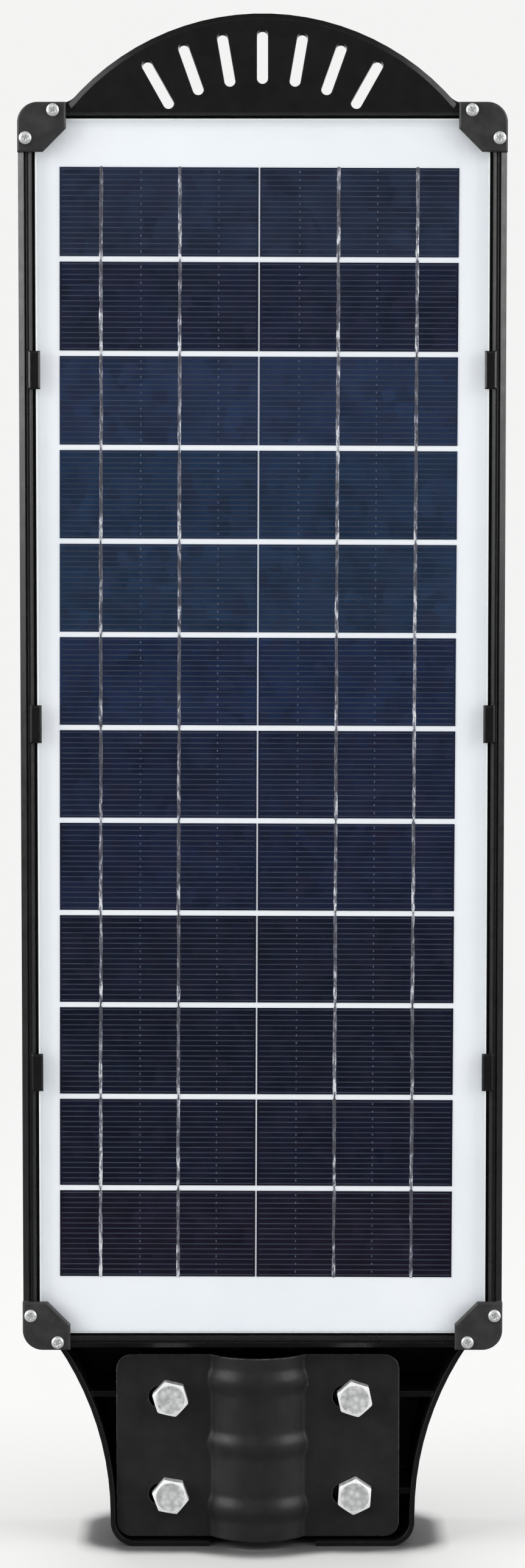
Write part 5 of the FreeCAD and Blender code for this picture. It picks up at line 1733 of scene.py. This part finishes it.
@dataclass
class LightSide:
    """The light modules, the motion sensor, the switch and the windows."""

    modules: int = 3
    finishes: dict[str, Finish | Clear] = field(
        default_factory=lambda: {
            "led_chips": LED_CHIP,
            "led_lens_gaskets": RUBBER,
            "motion_sensor": SENSOR_CAN,
            "sensor_dome": DOME,
            "sensor_dome_seal": RUBBER,
            "indicator_light_pipe": LIGHT_PIPE,
            "remote_window": SMOKED,
            "power_switch": DARK_BOX,
            "power_button": BUTTON_RED,
            "power_button_bezel": BEZEL,
        }
    )

    def build(self) -> None:
        """Dress the nodes."""
        for node, finish in self.finishes.items():
            Paint.coat(node, finish)
        for i in range(1, self.modules + 1):
            Paint.coat(f"reflector_{i}", CHROME)
            Paint.coat(f"led_board_{i}", LED_BOARD)
            Paint.coat(f"led_lens_{i}", CLEAR_LENS)


@dataclass
class Inside:
    """The battery pack, the boards and the leads."""

    finishes: dict[str, Finish] = field(
        default_factory=lambda: {
            "battery_cells": BATTERY_WRAP,
            "battery_strips": NICKEL,
            "battery_cradle": DARK_BOX,
            "battery_straps": NICKEL,
            "battery_strap_screws": ZINC_SCREW,
            "sensor_board": GREEN_BOARD,
            "controller_board": GREEN_BOARD,
            "board_standoffs": BRASS,
            "board_screws": ZINC_SCREW,
            "controller_inductor": COIL,
            "controller_capacitors": CAPACITOR,
            "controller_heatsink": HEAT_SINK,
            "controller_connectors": CONNECTOR,
            "sensor_components": DARK_BOX,
            "panel_lead": WIRE,
            "battery_lead": WIRE,
            "led_lead": WIRE,
        }
    )

    def build(self) -> None:
        """Dress the nodes."""
        for node, finish in self.finishes.items():
            Paint.coat(node, finish)


# Studio


@dataclass(frozen=True)
class SoftBox:
    """One area light: where it stands, how large it is and how strong."""

    name: str
    place: tuple[float, float, float]
    size: tuple[float, float]
    power: float
    tone: Colour = (1.0, 1.0, 1.0)


@dataclass
class Studio:
    """A pale floor, soft lights and the camera."""

    aim: Vector = field(default_factory=lambda: Vector((0.0, 0.0, 0.27)))
    sky: Colour = (0.9, 0.9, 0.895)
    fill: float = 0.68
    fill_in_gloss: float = 0.03
    floor_reach: float = 40.0
    floor_in_gloss: Colour = (0.025, 0.025, 0.025)
    floor_dull: Colour = (0.61, 0.61, 0.605)
    floor_pale: Colour = (0.63, 0.63, 0.625)
    floor_fade: tuple[float, float] = (0.25, 1.8)
    shade_reach: float = 0.017
    shade_open: tuple[float, float] = (0.8, 0.985)
    shade_depth: float = 0.88
    shade_tone: Colour = (0.03, 0.03, 0.03)
    boxes: tuple[SoftBox, ...] = (
        SoftBox("left_side", (-2.1, -0.2, 1.05), (1.1, 1.5), 29.0),
        SoftBox("right_side", (2.1, -0.2, 1.05), (1.1, 1.5), 24.0),
        SoftBox("left_key", (-1.9, -1.2, 1.0), (0.8, 1.6), 21.0),
        SoftBox("right_key", (1.9, -1.2, 1.0), (0.8, 1.6), 18.0),
        SoftBox("front_high", (0.0, -2.4, 2.3), (2.6, 0.7), 6.5),
        SoftBox("left_high", (-1.6, 0.05, 2.1), (0.8, 0.8), 4.5),
        SoftBox("right_high", (1.6, 0.05, 2.1), (0.8, 0.8), 4.5),
        SoftBox("back_high", (0.0, 2.0, 2.0), (2.4, 1.0), 19.0),
        SoftBox("back_key", (0.0, 2.3, 1.1), (2.0, 1.2), 9.0),
    )
    camera_place: tuple[float, float, float] = (0.0, -1.524, 0.38135)
    camera_pitch: float = 4.27
    lens: float = 86.9

    def camera(self) -> None:
        """The camera, level across and tipped a little down."""
        data = bpy.data.cameras.new("view_camera")
        data.lens = self.lens
        data.sensor_width = 36.0
        camera = bpy.data.objects.new("view_camera", data)
        camera.location = self.camera_place
        camera.rotation_euler = (math.radians(90 - self.camera_pitch), 0.0, 0.0)
        bpy.context.scene.collection.objects.link(camera)
        bpy.context.scene.camera = camera

    def lights(self) -> None:
        """The soft boxes, each turned to the lamp's middle."""
        for box in self.boxes:
            data = bpy.data.lights.new(box.name, "AREA")
            data.shape = "RECTANGLE"
            data.size, data.size_y = box.size
            data.energy = box.power
            data.color = box.tone
            light = bpy.data.objects.new(box.name, data)
            light.location = box.place
            light.rotation_euler = (self.aim - Vector(box.place)).to_track_quat("-Z", "Y").to_euler()
            light.visible_camera = False
            bpy.context.scene.collection.objects.link(light)

    def world(self) -> None:
        """An even pale surround that lights more softly than it looks."""
        world = bpy.data.worlds.new("surround")
        world.use_nodes = True
        tree = world.node_tree
        tree.nodes.clear()
        seen = tree.nodes.new("ShaderNodeBackground")
        seen.inputs["Color"].default_value = (*self.sky, 1.0)
        lit = tree.nodes.new("ShaderNodeBackground")
        lit.inputs["Color"].default_value = (1.0, 1.0, 1.0, 1.0)
        rays = tree.nodes.new("ShaderNodeLightPath")
        level = tree.nodes.new("ShaderNodeMapRange")
        level.inputs["To Min"].default_value = self.fill
        level.inputs["To Max"].default_value = self.fill_in_gloss
        mix = tree.nodes.new("ShaderNodeMixShader")
        out = tree.nodes.new("ShaderNodeOutputWorld")
        tree.links.new(rays.outputs["Is Glossy Ray"], level.inputs["Value"])
        tree.links.new(level.outputs[0], lit.inputs["Strength"])
        tree.links.new(rays.outputs["Is Camera Ray"], mix.inputs[0])
        tree.links.new(lit.outputs[0], mix.inputs[1])
        tree.links.new(seen.outputs[0], mix.inputs[2])
        tree.links.new(mix.outputs[0], out.inputs["Surface"])
        bpy.context.scene.world = world

    def floor(self) -> None:
        """A wide floor that fades into the surround."""
        low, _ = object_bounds()
        rings: list[Ring] = []
        for reach in (0.3, 0.6, 1.2, 2.5, 5.0, 12.0, self.floor_reach):
            rings.append(
                [
                    (reach * math.cos(a * math.pi / 32), reach * math.sin(a * math.pi / 32), low.z)
                    for a in range(64)
                ],
            )
        points, faces = lathe(rings)
        mesh = bpy.data.meshes.new("studio_floor")
        mesh.from_pydata(points, [], faces[:-1])
        work = bmesh.new()
        work.from_mesh(mesh)
        if sum(f.normal.z for f in work.faces) < 0:
            bmesh.ops.reverse_faces(work, faces=work.faces)
        work.to_mesh(mesh)
        work.free()
        floor = bpy.data.objects.new("studio_floor", mesh)
        bpy.context.scene.collection.objects.link(floor)
        wiring = Wiring("studio_floor")
        away = wiring.add("ShaderNodeVectorMath", {"operation": "LENGTH"})
        wiring.feed(away.inputs[0], wiring.stretched((1, 1, 0)))
        rays = wiring.add("ShaderNodeLightPath")
        far = wiring.maths(
            "MULTIPLY", rays.outputs["Is Camera Ray"], wiring.span(away.outputs["Value"], *self.floor_fade)
        )
        pale = wiring.blend(wiring.noise(0.2, 3.0), self.floor_dull, self.floor_pale)
        tone = wiring.blend(rays.outputs["Is Glossy Ray"], pale, self.floor_in_gloss)
        # Painted contact shadow: the floor's colour darkens where little of the sky above is open, at the lamp's
        # foot.
        open_above = wiring.add("ShaderNodeAmbientOcclusion", Distance=self.shade_reach).outputs["AO"]
        shade = wiring.span(open_above, *self.shade_open, self.shade_depth, 0.0)
        tone = wiring.blend(shade, tone, self.shade_tone)
        near = wiring.add("ShaderNodeBsdfPrincipled", Base_Color=tone, Roughness=0.6, Specular_IOR_Level=0.2)
        glow = wiring.add("ShaderNodeEmission", Color=self.sky, Strength=1.0)
        mix = wiring.add("ShaderNodeMixShader", Fac=far)
        wiring.feed(mix.inputs[1], near.outputs[0])
        wiring.feed(mix.inputs[2], glow.outputs[0])
        mesh.materials.append(wiring.close(mix.outputs[0]))
        floor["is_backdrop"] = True

    def build(self) -> None:
        """Set up the studio."""
        view = bpy.context.scene.view_settings
        view.view_transform = "Standard"
        view.look = "None"
        self.world()
        self.lights()
        self.floor()
        self.camera()


def main() -> list[Vector]:
    """Build every sub-assembly in order.

    Returns:
        The frame's lowest and highest corner before anything was added.
    """
    logging.basicConfig(level=logging.INFO, format="%(name)s %(message)s")
    frame_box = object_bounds()
    Studio().build()
    Shell().build()
    SolarPanel().build()
    Clamp().build()
    LightSide().build()
    Inside().build()
    screws = ScrewSets()
    screws.build("corner_cap_screws", Facing.PANEL, 1.7 * MM, 11)
    screws.build("battery_cover_screws", Facing.LIGHT, 1.7 * MM, 12)
    screws.build("led_lens_screws", Facing.LIGHT, 1.7 * MM, 13)
    return list(frame_box)


if __name__ == "__main__":
    frame_corners = main()
